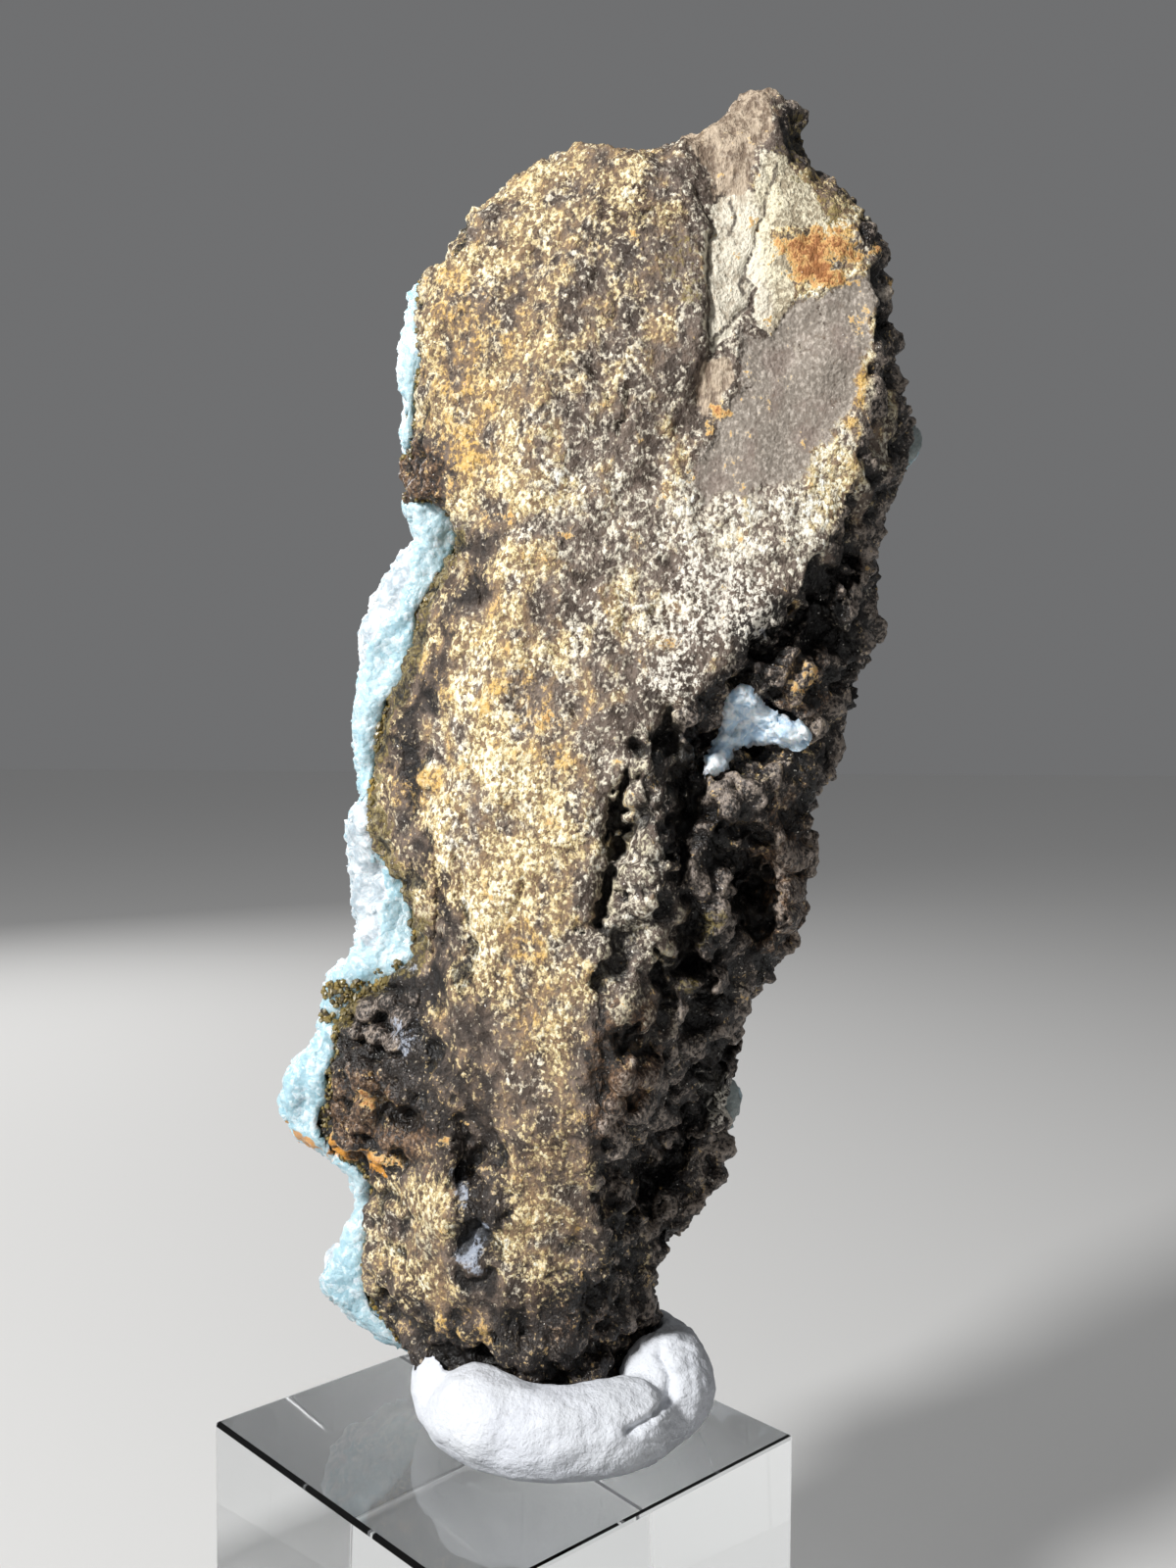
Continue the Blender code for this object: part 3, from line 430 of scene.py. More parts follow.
def embossed(tree, shader, layers):
    """Fine relief on the shader: (height signal, depth in millimetres), each laid on the one before."""
    under = None
    for height, depth in layers:
        inputs = {"Height": height, "Distance": depth * MM}
        if under is not None:
            inputs["Normal"] = under
        under = add_node(tree, "Bump", None, inputs)
    tree.links.new(under, shader.inputs["Normal"])


# Meshes

def select_only(piece):
    bpy.ops.object.select_all(action="DESELECT")
    piece.select_set(True)
    bpy.context.view_layer.objects.active = piece


def copy_of_node(node, name):
    """A new piece with the node's shape, its loose triangles merged."""
    piece = bpy.data.objects.new(name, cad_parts[node].data.copy())
    bpy.context.scene.collection.objects.link(piece)
    piece.data.materials.clear()
    select_only(piece)
    bpy.ops.object.mode_set(mode="EDIT")
    bpy.ops.mesh.select_all(action="SELECT")
    bpy.ops.mesh.remove_doubles(threshold=MERGE_REACH * MM)
    bpy.ops.mesh.normals_make_consistent(inside=False)
    bpy.ops.mesh.customdata_custom_splitnormals_clear()
    bpy.ops.object.mode_set(mode="OBJECT")
    return piece


def apply_modifier(piece, modifier):
    select_only(piece)
    bpy.ops.object.modifier_apply(modifier=modifier.name)


def relax(piece, share, times):
    smooth = piece.modifiers.new("relax", "SMOOTH")
    smooth.factor = share
    smooth.iterations = times
    apply_modifier(piece, smooth)


def reskin(piece, edge, smoothings):
    """An even skin of small faces, its old facets smoothed away."""
    skin = piece.modifiers.new("skin", "REMESH")
    skin.mode = "VOXEL"
    skin.voxel_size = edge
    apply_modifier(piece, skin)
    relax(piece, 0.5, smoothings)


def thin_out(piece, faces, hidden):
    """Collapses the skin to this many triangles, its hidden part first."""
    group = piece.vertex_groups.new(name="hidden")
    group.add(np.flatnonzero(hidden).tolist(), 1.0, "REPLACE")
    thin = piece.modifiers.new("thin", "DECIMATE")
    thin.ratio = min(1.0, faces / (2 * len(piece.data.polygons)))
    thin.vertex_group = group.name
    thin.vertex_group_factor = 8.0
    apply_modifier(piece, thin)
    piece.vertex_groups.clear()


def points_of(piece):
    flat = np.empty(len(piece.data.vertices) * 3)
    piece.data.vertices.foreach_get("co", flat)
    return flat.reshape(-1, 3) / MM


def normals_of(piece):
    flat = np.empty(len(piece.data.vertices) * 3)
    piece.data.vertices.foreach_get("normal", flat)
    return flat.reshape(-1, 3)


def set_points(piece, points):
    """Moves the points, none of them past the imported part's box."""
    low, high = (np.array(corner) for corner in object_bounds())
    piece.data.vertices.foreach_set("co", np.clip(points * MM, low, high).ravel())
    piece.data.update()


def paint(piece, regions):
    """Stores a value for each point under each name, for the materials to read."""
    for name, values in regions.items():
        layer = piece.data.attributes.new(name, "FLOAT", "POINT")
        layer.data.foreach_set("value", np.ascontiguousarray(values, dtype=np.float32))


def painted(piece, name):
    values = np.empty(len(piece.data.vertices), np.float32)
    piece.data.attributes[name].data.foreach_get("value", values)
    return values


def finish_piece(piece, material, node):
    piece.data.materials.clear()
    piece.data.materials.append(material)
    piece.data.shade_smooth()
    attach(piece, "root")
    if node:
        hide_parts(node)


def distance_to(points, node, reach):
    """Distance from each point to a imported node, up to this reach."""
    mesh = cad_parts[node].data
    tree = BVHTree.FromPolygons([v.co / MM for v in mesh.vertices], [p.vertices[:] for p in mesh.polygons])
    found = (tree.find_nearest(Vector(point), reach)[3] for point in points.tolist())
    return np.array([reach if away is None else away for away in found])


# Patterns on arrays of points, in millimetres

def as_drawn(points):
    """Where points fall on the plane y = 0, as the viewer sees them."""
    reach = 1 + points[:, 1] / -EYE[1]
    return EYE[0] + (points[:, 0] - EYE[0]) / reach, EYE[2] + (points[:, 2] - EYE[2]) / reach


def rough(points, size, octaves=3):
    """Uneven ground, about -0.6 to 0.6, with finer unevenness in each octave."""
    return np.array([noise.fractal(Vector(point), 0.9, 2.1, octaves) for point in (points / size).tolist()])


def swirled(points, size, reach):
    """The points moved about by smooth swirls. Blender's vector noise starts from a seed of its own,
    taken from the clock, unless it is given one."""
    noise.seed_set(SWIRL_SEED)
    pulls = [noise.noise_vector(Vector(point)) for point in (points / size).tolist()]
    return points + reach * np.array(pulls)


def lumps(points, size):
    """Round lumps packed together: 1 on top of each, 0 between them."""
    near = np.array([noise.voronoi(Vector(point))[0][0] for point in (points / size).tolist()])
    return 1 - np.clip(near * 1.25, 0, 1) ** 2


def facets(points, size):
    """Small flat facets, each tilted its own way."""
    rise = []
    for point in (points / size).tolist():
        here = Vector(point)
        centre = noise.voronoi(here)[1][0]
        tilt = noise.cell_vector(centre * 5.7) * 2 - Vector((1, 1, 1))
        rise.append((here - centre).dot(tilt))
    return np.array(rise)


def soft_step(value, low, high):
    share = np.clip((value - low) / (high - low), 0, 1)
    return share * share * (3 - 2 * share)


def bell(offset):
    """1 at no offset, falling away evenly on both sides."""
    return np.exp(-(offset**2))


def spread(chosen, values, rest=0.0):
    """The values at the chosen points, and the rest value at all others."""
    full = np.full(len(chosen), rest)
    full[chosen] = values
    return full


def wandering(points, seen, size, octaves):
    """By how much drawn lines wander across and upwards at the seen points."""
    return [spread(seen, rough(points[seen] + shift, size, octaves)) for shift in (0, 71)]


def spots(x, z, patches):
    """The strongest of the round patches at each point, each fading from its middle."""
    strength = np.zeros_like(x)
    for cx, cz, half_x, half_z, top in patches:
        away = np.hypot((x - cx) / half_x, (z - cz) / half_z)
        strength = np.maximum(strength, top * np.clip(1.8 - 1.3 * away, 0, 1))
    return strength


def blended(x, z, patches):
    """The patches' levels blended smoothly into each other."""
    total = np.full_like(x, 1e-6)
    value = total * 0.3
    for cx, cz, half_x, half_z, level in patches:
        weight = np.exp(-(((x - cx) / half_x) ** 2 + ((z - cz) / half_z) ** 2))
        total += weight
        value += weight * level
    return value / total


def from_line(x, z, line):
    """Distance from an open line, and the side: positive on its right going along it."""
    nearest = np.full(len(x), np.inf)
    side = np.zeros(len(x))
    for (ax, az), (bx, bz) in zip(line, line[1:]):
        dx, dz = bx - ax, bz - az
        along = np.clip(((x - ax) * dx + (z - az) * dz) / (dx * dx + dz * dz), 0, 1)
        off_x, off_z = x - ax - along * dx, z - az - along * dz
        away = np.hypot(off_x, off_z)
        closer = away < nearest
        nearest[closer] = away[closer]
        side[closer] = np.sign(dz * off_x - dx * off_z)[closer]
    return nearest, side


def inside(x, z, outline):
    """Distance inside a closed outline, negative outside it."""
    closed = outline + outline[:1]
    nearest, _ = from_line(x, z, closed)
    crossings = np.zeros(len(x), int)
    for (ax, az), (bx, bz) in zip(closed, closed[1:]):
        spans = (az > z) != (bz > z)
        crossings += spans & (x < ax + (bx - ax) * (z - az) / ((bz - az) or 1e-9))
    return np.where(crossings % 2 == 1, nearest, -nearest)


def seam_wave(x, z, away):
    """How far back the seam between rock and crust wanders, fading out within 4 mm of it."""
    return rough(np.stack([x, 0 * x, z], axis=1), 8.0, 3) * 1.8 * (1 - soft_step(away, 0.5, 4.0))


# The rock

def shape_rock(piece):
    """Breaks the flank, roughens the lit face and cuts the marks. Returns the regions to paint."""
    points = points_of(piece)
    normals = normals_of(piece)
    to_crust = distance_to(points, "hemimorphite_crust", 4.0)
    to_putty = distance_to(points, "putty_ring", 4.0)
    hidden = ((to_crust < 1.0) & (normals[:, 1] > 0.6)) | ((to_putty < 0.6) & (points[:, 2] < 56))
    seen = ~hidden
    x, z = as_drawn(points)
    across, upward = wandering(points, seen, 3.4, 4)
    wx, wz = x + across * 1.3, z + upward * 1.3
    facing = 1 - soft_step(normals[:, 1], 0.15, 0.45)

    # Which parts are broken, smooth, or under a film
    ridge = np.interp(z + upward * 2.4, *np.array(RIDGE, float).T)
    past_ridge = soft_step(x + across * 3.0 - ridge, -0.8, 1.2)
    right_side = soft_step(normals[:, 0], 0.45, 0.8)
    back = soft_step(normals[:, 1], 0.1, 0.5)
    left_side = soft_step(-normals[:, 0], 0.6, 0.9) * 0.45
    patches = spots(wx, wz, BROKEN_PATCHES)
    broken = 1 - (1 - past_ridge) * (1 - right_side) * (1 - back) * (1 - left_side) * (1 - patches)
    broken *= 1 - spots(wx, wz, MILD_PATCHES)
    plane = soft_step(inside(wx, wz, SPALL_PLANE), -1.3, 0.9) * facing
    clay = sum(soft_step(inside(wx, wz, patch), -0.7, 0.4) for patch in CLAY_PATCHES) * facing
    peak = sum(soft_step(inside(wx, wz, patch), -0.6, 0.8) for patch in TAUPE_PATCHES) * facing
    calm = np.clip(plane + clay * 0.8 + peak * 0.7, 0, 1)

    nodular = np.zeros(len(points))
    for nx, nz, radius, height in NODULES:
        away = np.clip(np.hypot(x - nx, z - nz) / radius, 0, 1)
        nodular = np.maximum(nodular, 1.5 * height * np.sqrt(1 - away**2))

    # Relief outwards from the surface: grains on the lit face, lumps and pits where it is broken
    lace = spread(seen, rough(points[seen] * (1, 1, 0.75), LACE_SIZE, 5))
    grainy = seen & (broken < 0.98)
    swells = rough(points[grainy], SWELL_SIZE, 2) * 0.55
    fine = rough(points[grainy] + 9, GRIT_SIZE, 2) * 0.20
    level = swells + (lace[grainy] * 0.42 + fine) * (1 - 0.85 * calm[grainy])
    rise = spread(grainy, level * (1 - broken[grainy]))
    rim = seen & (np.abs(normals[:, 1]) < 0.75)
    turned = soft_step(0.75 - np.abs(normals[rim, 1]), 0, 0.4)
    rise[rim] += rough(points[rim] + 31, KNOT_SIZE, 3) * 0.8 * turned
    hackly = seen & (broken > 0.02)
    ground = swirled(points[hackly], 4.0, 0.9)
    level = (lumps(ground, LUMP_SIZE) - 0.5) * 1.5 + (lumps(ground + 40, KNOT_SIZE) - 0.5) * 0.8
    level += rough(ground, 5.5, 4) * 1.2 + facets(ground, FACET_SIZE) * 0.3
    level -= 3.0 * np.clip(rough(points[hackly] + 17, PIT_SIZE, 3) - 0.14, 0, 1)
    rise[hackly] += (level - 0.1) * broken[hackly] * (1 - 0.75 * soft_step(nodular[hackly], 0, 0.8))
    # How high the broken lumps stand, 0 in their pits and 1 on top: the material paints black shade in the
    # pits and a painted highlight on the tops. The hollows left of the ridge keep their pits but get no lit
    # tops, and the nodules get lit tops
    knob = spread(hackly, soft_step(level, -1.1, 1.1), 0.5)
    hollow = (patches > past_ridge) & (patches > right_side)
    knob[hollow] = np.minimum(knob[hollow], 0.5)
    knob = np.maximum(knob, 0.85 * soft_step(nodular, 0.1, 1.0))
    contact = np.clip(1 - to_crust / 1.6, 0, 1)
    rise = rise * (1 - 0.7 * contact) + 0.25 * contact
    rise *= soft_step(points[:, 2], 50.6, 54.0)
    points += normals * rise[:, None]

    # Marks pushed in along y: the spall's step and the slots. Veins, swells and nodules stand out
    from_step, step_side = from_line(x + across * 0.4, z + upward * 0.4, STEP_LINE)
    below_step = soft_step(-step_side * from_step, -0.3, 0.3)
    reach = np.clip(1 - from_step / 8.0, 0, 1) * soft_step(z, 166, 180)
    push = STEP_DROP * below_step * reach * (x < 45)
    ragged = spread(hackly, rough(points[hackly] + 53, 1.2, 2))
    cx, cz = x + across * 1.1 + ragged * 1.3, z + upward * 1.1
    slot = np.zeros(len(points))
    for half_width, depth, line in CRACKS:
        away, _ = from_line(cx, cz, line)
        slot += depth * bell(away / (half_width * (1 + lace * 0.9)))
    push += slot
    for half_width, height, line in VEINS:
        away, _ = from_line(cx, cz, line)
        push -= height * bell(away / half_width)
    for sx, sz, half_x, half_z, swell in SWELLS:
        push -= swell * np.exp(-(((x - sx) / half_x) ** 2) - ((z - sz) / half_z) ** 2)
    push -= nodular
    points[:, 1] += push * facing * (1 - contact) + seam_wave(x, z, to_crust)
    set_points(piece, points)

    # Where the grains hide the ground, with a bare and a covered band beside the crust
    hx, hz = x + across * 0.6, z + upward * 0.6
    from_edge, edge_side = from_line(wx, wz, CRUST_EDGE)
    banded = facing * (edge_side > 0) * soft_step(z, 92, 102) * (1 - soft_step(z, 156, 162))
    cover = blended(wx, wz, GRAIN_COVER)
    cover -= 0.34 * bell((from_edge - 3.4) / 1.5) * banded
    cover += 0.14 * bell((from_edge - 7.0) / 1.8) * banded
    # The flank and the faces turned away from the front get few grains, so the material paints their ground
    # near black: partly bare goethite, partly painted shade
    cover = cover * facing * (1 - right_side) + 0.12 * (1 - facing * (1 - right_side))
    olive = bell(from_edge / 1.5) * soft_step(z, 92, 98) + 0.5 * contact
    from_hairline = np.minimum.reduce([from_line(hx, hz, line)[0] for line in HAIRLINES])
    regions = {
        "lace": lace,
        "cover": cover,
        "broken": broken,
        "plane": plane,
        "peak": peak,
        "clay": clay,
        "olive": np.clip(olive + spots(wx, wz, OLIVE_SPOTS) * facing, 0, 1),
        "seam": bell(from_line(wx, wz, RUSTY_SEAM)[0] / 0.9) * facing,
        "warmth": blended(wx, wz, WARMTH),
        # Where the slots cut deep: the material paints these black as shade
        "deep": soft_step(slot, 0.5, 2.0) * facing,
        "knob": knob,
        "from_hairline": from_hairline + HAIRLINE_REACH * (1 - facing),
        "fringe": facing * soft_step(z, 94, 100) * (1 - soft_step(z, 136, 142)) * (from_edge < 3),
        "contact": soft_step(1.5 - to_crust, 0, 0.6) * (normals[:, 1] < 0.6),
    }
    marks = {"cream": CREAM_SPOTS, "yellow": YELLOW_SPOTS, "rust": RUST_SPOTS, "slate": SLATE_SPOTS,
             "brown": BROWN_SPOTS}
    regions.update((name, spots(wx, wz, patches) * facing) for name, patches in marks.items())
    return regions, hidden


def limonite_material(look):
    """Limonite (gossan), broken by hand: earthy iron oxides. A dark goethite ground shows between
    lacy tan grains whose tops catch the light, and stains and films of clay lie over both."""
    made, tree, shader, place = new_material("limonite")
    regions = {name: add_node(tree, "Attribute", {"attribute_name": name}, out="Fac") for name in (
        "lace", "cover", "broken", "plane", "peak", "clay", "cream", "yellow", "rust", "olive", "slate",
        "seam", "warmth", "brown", "deep", "knob", "from_hairline")}
    upright = add_node(tree, "Mapping", None, {"Vector": place, "Scale": (1.0, 1.0, 0.8)})
    broad = add_node(tree, "TexNoise", None, {"Vector": place, "Scale": per_metre(6.0), "Detail": 4.0})
    patchy = add_node(
        tree, "TexNoise", None,
        {"Vector": upright, "Scale": per_metre(2.6), "Detail": 5.0, "Roughness": 0.62, "Distortion": 0.4})
    flecks = add_node(
        tree, "TexNoise", None,
        {"Vector": upright, "Scale": per_metre(0.5), "Detail": 3.0, "Roughness": 0.7})
    # The grains are cells, bent so that they don't look like a mosaic, each with its own chance
    bent = add_node(
        tree, "TexNoise", None, {"Vector": place, "Scale": per_metre(0.7), "Detail": 2.0}, "Color")
    bent = add_node(tree, "VectorMath", {"operation": "SCALE"}, {0: bent, "Scale": 0.5 * MM})
    bent = add_node(tree, "VectorMath", {"operation": "ADD"}, {0: upright, 1: bent})
    dots = add_node(tree, "TexVoronoi", None, {"Vector": bent, "Scale": per_metre(0.42)})
    dot_tone = add_node(tree, "TexVoronoi", None, {"Vector": bent, "Scale": per_metre(0.42)}, "Color")
    clot_tone = add_node(tree, "TexVoronoi", None, {"Vector": bent, "Scale": per_metre(1.3)}, "Color")
    chance = add_node(tree, "SeparateColor", None, {"Color": dot_tone})
    chance_too = add_node(tree, "SeparateColor", None, {"Color": dot_tone}, 1)
    clot = add_node(tree, "SeparateColor", None, {"Color": clot_tone})

    # The ground, from worn and dusty through iron-soaked brown to near black where few grains cover it:
    # partly bare goethite, partly painted shade on the flank, the bottom and in the hollows
    ground = stained(tree, look.ground, look.dust, patchy, 0.38, 0.66)
    ground = stained(tree, ground, "#5a4230", broad, 0.5, 0.72, 0.6)
    soaked = weighed(tree, [(regions["brown"], 0, 0.8), (patchy, 0.5, 1.0), (flecks, 0.5, 0.8)])
    soaked_tone = stained(tree, "#3b2a20", "#8c6c4e", flecks, 0.40, 0.64)
    # Painted shade and bare ground: near black where the grains are few
    bare_and_shaded = weighed(tree, [
        (regions["cover"], 0, -1.7), (regions["broken"], 0, 0.2), (patchy, 0.5, -1.0)], 0.66)
    ground = stained(tree, ground, "#17110e", bare_and_shaded, 0.0, 0.5, 0.88)
    # The grains, from tan to white by their height, golden or grey, and ochre in patches
    level = weighed(tree, [
        (regions["cover"], 0.5, 0.66), (regions["lace"], 0.0, 0.12), (broad, 0.5, 0.8), (patchy, 0.5, 0.35),
        (flecks, 0.5, 1.45), (chance, 0.5, 0.42), (clot, 0.5, 0.16), (regions["brown"], 0, -0.12)], 0.5)
    tan = add_node(tree, "ValToRGB", {"stops": [
        (0.40, "#6d5b42"),
        (0.56, look.grain),
        (0.70, look.gold),
        (0.86, look.cream),
        (1.0, "#fffdf0"),
    ]}, {"Fac": level})
    grey_tan = add_node(tree, "HueSaturation", None, {"Color": tan, "Saturation": 0.5, "Value": 1.0})
    golden = weighed(tree, [(regions["warmth"], 0, 0.9), (broad, 0.5, 2.0), (patchy, 0.5, 2.4)], -0.10)
    tan = stained(tree, grey_tan, tan, golden, 0.25, 0.75)
    ochre = weighed(tree, [
        (regions["yellow"], 0, 0.55), (regions["warmth"], 0.5, 0.3), (patchy, 0.5, 2.6),
        (flecks, 0.5, 0.9)])
    tan = stained(tree, tan, "#dcae56", ochre, 0.30, 0.80, 0.8)
    ground = stained(tree, ground, soaked_tone, soaked, 0.30, 0.60, 0.85)
    # Earth lies between the ground and the grains
    earth = stained(tree, "#84766b", "#94795a", golden, 0.25, 0.75)
    earth = stained(tree, earth, "#675547", dots, 0.35, 0.8, 0.6)
    veil = weighed(tree, [
        (regions["cover"], 0.5, 0.8), (regions["broken"], 0, -0.25), (regions["brown"], 0, -0.5),
        (patchy, 0.5, 1.3), (broad, 0.5, 0.7), (flecks, 0.5, 0.8)], 0.47)
    colour = stained(tree, ground, earth, veil, 0.26, 0.60, 0.92)
    colour = stained(tree, colour, tan, level, 0.40, 0.68)
    # Dust on the broken lumps, and a painted highlight on their tops, lighter where the lumps stand high
    dust_and_lit_tops = weighed(tree, [
        (regions["broken"], 0, 0.16), (regions["knob"], 0.5, 0.9), (flecks, 0.5, 2.2), (patchy, 0.5, 0.9),
        (chance, 0.5, 0.3)])
    dust = stained(tree, "#a4968a", "#d6cdae", regions["cover"], 0.2, 0.5)
    colour = stained(tree, colour, dust, dust_and_lit_tops, 0.25, 0.78, 0.85)

    # The white cast, the streaky peak, the clay films and the smooth parting
    white = weighed(tree, [
        (regions["cream"], 0, 0.60), (flecks, 0.5, 1.8), (chance, 0.5, 0.35), (patchy, 0.5, 0.8)])
    colour = stained(tree, colour, "#f1eadb", white, 0.42, 0.70, 0.9)
    crest = weighed(tree, [(regions["peak"], 0, 0.8), (flecks, 0.5, 0.5), (patchy, 0.5, 0.9)])
    drawn_out = add_node(tree, "Mapping", None, {"Vector": place, "Scale": (1.0, 1.0, 0.2)})
    streaks = add_node(
        tree, "TexNoise", None,
        {"Vector": drawn_out, "Scale": per_metre(0.9), "Detail": 4.0, "Roughness": 0.65})
    streaky = weighed(tree, [(streaks, 0.5, 1.6), (flecks, 0.5, 0.7)])
    taupe = stained(tree, "#7a6755", "#c4b199", streaky, -0.2, 0.2)
    colour = stained(tree, colour, taupe, crest, 0.40, 0.60, 0.9)
    film = weighed(tree, [(regions["clay"], 0, 0.8), (flecks, 0.5, 0.9), (patchy, 0.5, 1.0)])
    mottle = weighed(tree, [(patchy, 0.5, 1.4), (flecks, 0.5, 1.4)])
    clay = stained(tree, "#bdb09b", look.clay, mottle, -0.24, 0.06)
    yellowed = stained(tree, "#9f9178", "#e9dfc2", mottle, -0.2, 0.12)
    limey = weighed(tree, [(regions["warmth"], 0, 1.0), (broad, 0.5, 1.0)])
    clay = stained(tree, clay, yellowed, limey, 0.3, 0.7)
    colour = stained(tree, colour, clay, film, 0.32, 0.56)
    bare = weighed(tree, [
        (regions["plane"], 0, 0.8), (flecks, 0.5, 1.3), (patchy, 0.5, 1.5), (chance, 0.5, 0.2)])
    parting = stained(tree, look.plane, "#c6bbae", flecks, 0.44, 0.70, 0.9)
    parting = stained(tree, parting, "#86736a", broad, 0.5, 0.66, 0.5)
    colour = stained(tree, colour, parting, bare, 0.30, 0.62)
    # Iron stain, paler at its rim, the rusty seam, the olive coat, and the slate-grey veins with one spot
    # of painted sheen
    iron = weighed(tree, [(regions["rust"], 0, 0.9), (patchy, 0.5, 2.3), (flecks, 0.5, 1.7)])
    stain = add_node(tree, "ValToRGB", {"stops": [
        (0.36, "#f0e4c4"),
        (0.54, "#e2ba74"),
        (0.78, look.rust),
        (1.05, "#a26a3c"),
    ]}, {"Fac": iron})
    colour = stained(tree, colour, stain, iron, 0.36, 0.60)
    run = weighed(tree, [(regions["seam"], 0, 0.9), (patchy, 0.5, 1.2), (flecks, 0.5, 0.8)])
    colour = stained(tree, colour, "#d79434", run, 0.46, 0.66, 0.95)
    moss = weighed(tree, [(regions["olive"], 0, 0.8), (patchy, 0.5, 1.2), (flecks, 0.5, 1.4)])
    coat = stained(tree, "#332b14", look.olive, flecks, 0.40, 0.60)
    colour = stained(tree, colour, coat, moss, 0.44, 0.70, 0.85)
    slate = weighed(tree, [(regions["slate"], 0, 0.8), (patchy, 0.5, 1.6), (flecks, 0.5, 1.4)])
    colour = stained(tree, colour, "#a8b1c0", slate, 0.44, 0.70, 0.8)
    # Painted shade: black in the pits between the broken lumps and in the deep slots. Then brown hairlines,
    # and painted glints on single grains
    painted_shade_black = "#0d0a08"
    pit_shade = weighed(tree, [
        (regions["broken"], 0, 0.35), (regions["knob"], 0.5, -1.3), (flecks, 0.5, -0.9),
        (regions["cream"], 0, -0.7)])
    colour = stained(tree, colour, painted_shade_black, pit_shade, 0.26, 0.84, 0.92)
    colour = stained(tree, colour, painted_shade_black, regions["deep"], 0.1, 0.8, 0.92)
    hair = weighed(tree, [(regions["from_hairline"], 0, -1.0), (flecks, 0.5, 0.5)])
    colour = stained(tree, colour, "#3a2a20", hair, -0.30, -0.10, 0.85)
    # Painted glints: single grains turned near white in place of sparkles of light
    glint = weighed(tree, [(chance_too, 0, 1.0), (dots, 0, -1.0), (regions["broken"], 0, 0.06)])
    colour = stained(tree, colour, "#fffaf0", glint, 0.81, 0.88, 0.85)
    tree.links.new(colour, shader.inputs["Base Color"])

    shine = weighed(tree, [
        (chance, 0.5, -0.30), (regions["broken"], 0.5, -0.30), (regions["plane"], 0, 0.1),
        (bare_and_shaded, 0.0, -0.1)], 0.56)
    tree.links.new(shine, shader.inputs["Roughness"])
    shader.inputs["IOR"].default_value = 1.6
    shader.inputs["Specular IOR Level"].default_value = 0.4
    calm = add_node(tree, "Math", {"operation": "MULTIPLY_ADD"}, {0: regions["plane"], 1: -0.8, 2: 1.0})
    calm = weighed(tree, [(regions["peak"], 0, -0.7)], calm)
    raised = add_node(tree, "Math", {"operation": "MULTIPLY"}, {0: patchy, 1: calm})
    furrows = add_node(tree, "Math", {"operation": "MULTIPLY"}, {0: streaks, 1: regions["peak"]})
    grit = add_node(tree, "Math", {"operation": "MULTIPLY"}, {0: flecks, 1: calm})
    embossed(tree, shader, [(raised, 0.8), (furrows, 0.5), (grit, 0.34), (dots, -0.10)])
    return made


class SPECIMEN_OT_rock(bpy.types.Operator):
    """Breaks the rock's plain solid into limonite with its flank, grains, spall step and cracks"""

    bl_idname = "specimen.rock"
    bl_label = "Limonite slab"

    def execute(self, context):
        look = context.scene.specimen_rock
        piece = copy_of_node("matrix_rock", "limonite_slab")
        reskin(piece, look.skin, 8)
        regions, hidden = shape_rock(piece)
        relax(piece, 0.35, 2)
        paint(piece, regions)
        thin_out(piece, ROCK_TRIANGLES, hidden)
        finish_piece(piece, limonite_material(look), "matrix_rock")
        return {"FINISHED"}


# The crust

def shape_crust(piece, look):
    """Small lobes on the far face and a broken, sugary edge towards the front."""
    points = points_of(piece)
    normals = normals_of(piece)
    to_rock = distance_to(points, "matrix_rock", 9.0)
    hidden = (to_rock < 1.0) & (normals[:, 1] < -0.6)
    seen = ~hidden
    outer = soft_step(normals[:, 1], -0.35, 0.25)
    x, z = as_drawn(points)
    across, upward = wandering(points, seen, 3.0, 3)
    wx, wz = x + across * 1.1, z + upward * 1.1
    lobe = sum(soft_step(inside(wx, wz, patch), -0.3, 0.5) for patch in WHITE_LOBES)
    rind = soft_step(to_rock + across * 2.4, 4.6, 6.2)
    bubble = look.bubble / MM
    ground = swirled(points[seen], bubble * 1.6, bubble * 0.34)
    tops = spread(seen, lumps(ground, bubble))
    small = spread(seen, lumps(ground + 23, bubble * 0.42))
    sugar = spread(seen, facets(points[seen], 2.2) * 0.5 + rough(points[seen], 1.5, 3) * 0.3)
    edge = soft_step(normals[:, 1], -0.75, -0.2) * (1 - soft_step(normals[:, 1], 0.2, 0.7))
    rise = outer * (tops * 1.7 + small * 0.35 - 0.9) + (1 - outer) * (sugar * (0.5 + edge) + 0.35)
    rise += outer * sugar * (0.06 + 0.9 * edge) + 0.2 * hidden
    points += normals * rise[:, None]
    drop = sum(np.clip(inside(wx, wz, patch), 0, 3.0) for patch in WHITE_LOBES)
    points[:, 1] += (1 - outer) * (lobe * 0.5 + drop * 0.5 - lobe * sugar * 0.9) + seam_wave(x, z, to_rock)
    set_points(piece, points)
    front = 1 - outer
    regions = {
        "tops": outer * (tops * 0.8 + small * 0.3),
        "edge": edge,
        "section": front * (1 - lobe) + (edge - front).clip(0) * (1 - rind),
        "lobe": np.maximum(front * lobe, edge * rind * 0.8),
        "cool": np.zeros(len(points)),
        "seam": bell(from_line(wx, wz, RUSTY_SEAM)[0] / 0.6) * soft_step(front, 0.1, 0.6),
        # The crust's right end, which lies in shade, greyed as painted shade
        "right_end_shade": front * soft_step(x, 22, 26),
        "fringe": (front > 0.8) * spots(x, z, DRUSE_SPOTS),
    }
    return regions, hidden


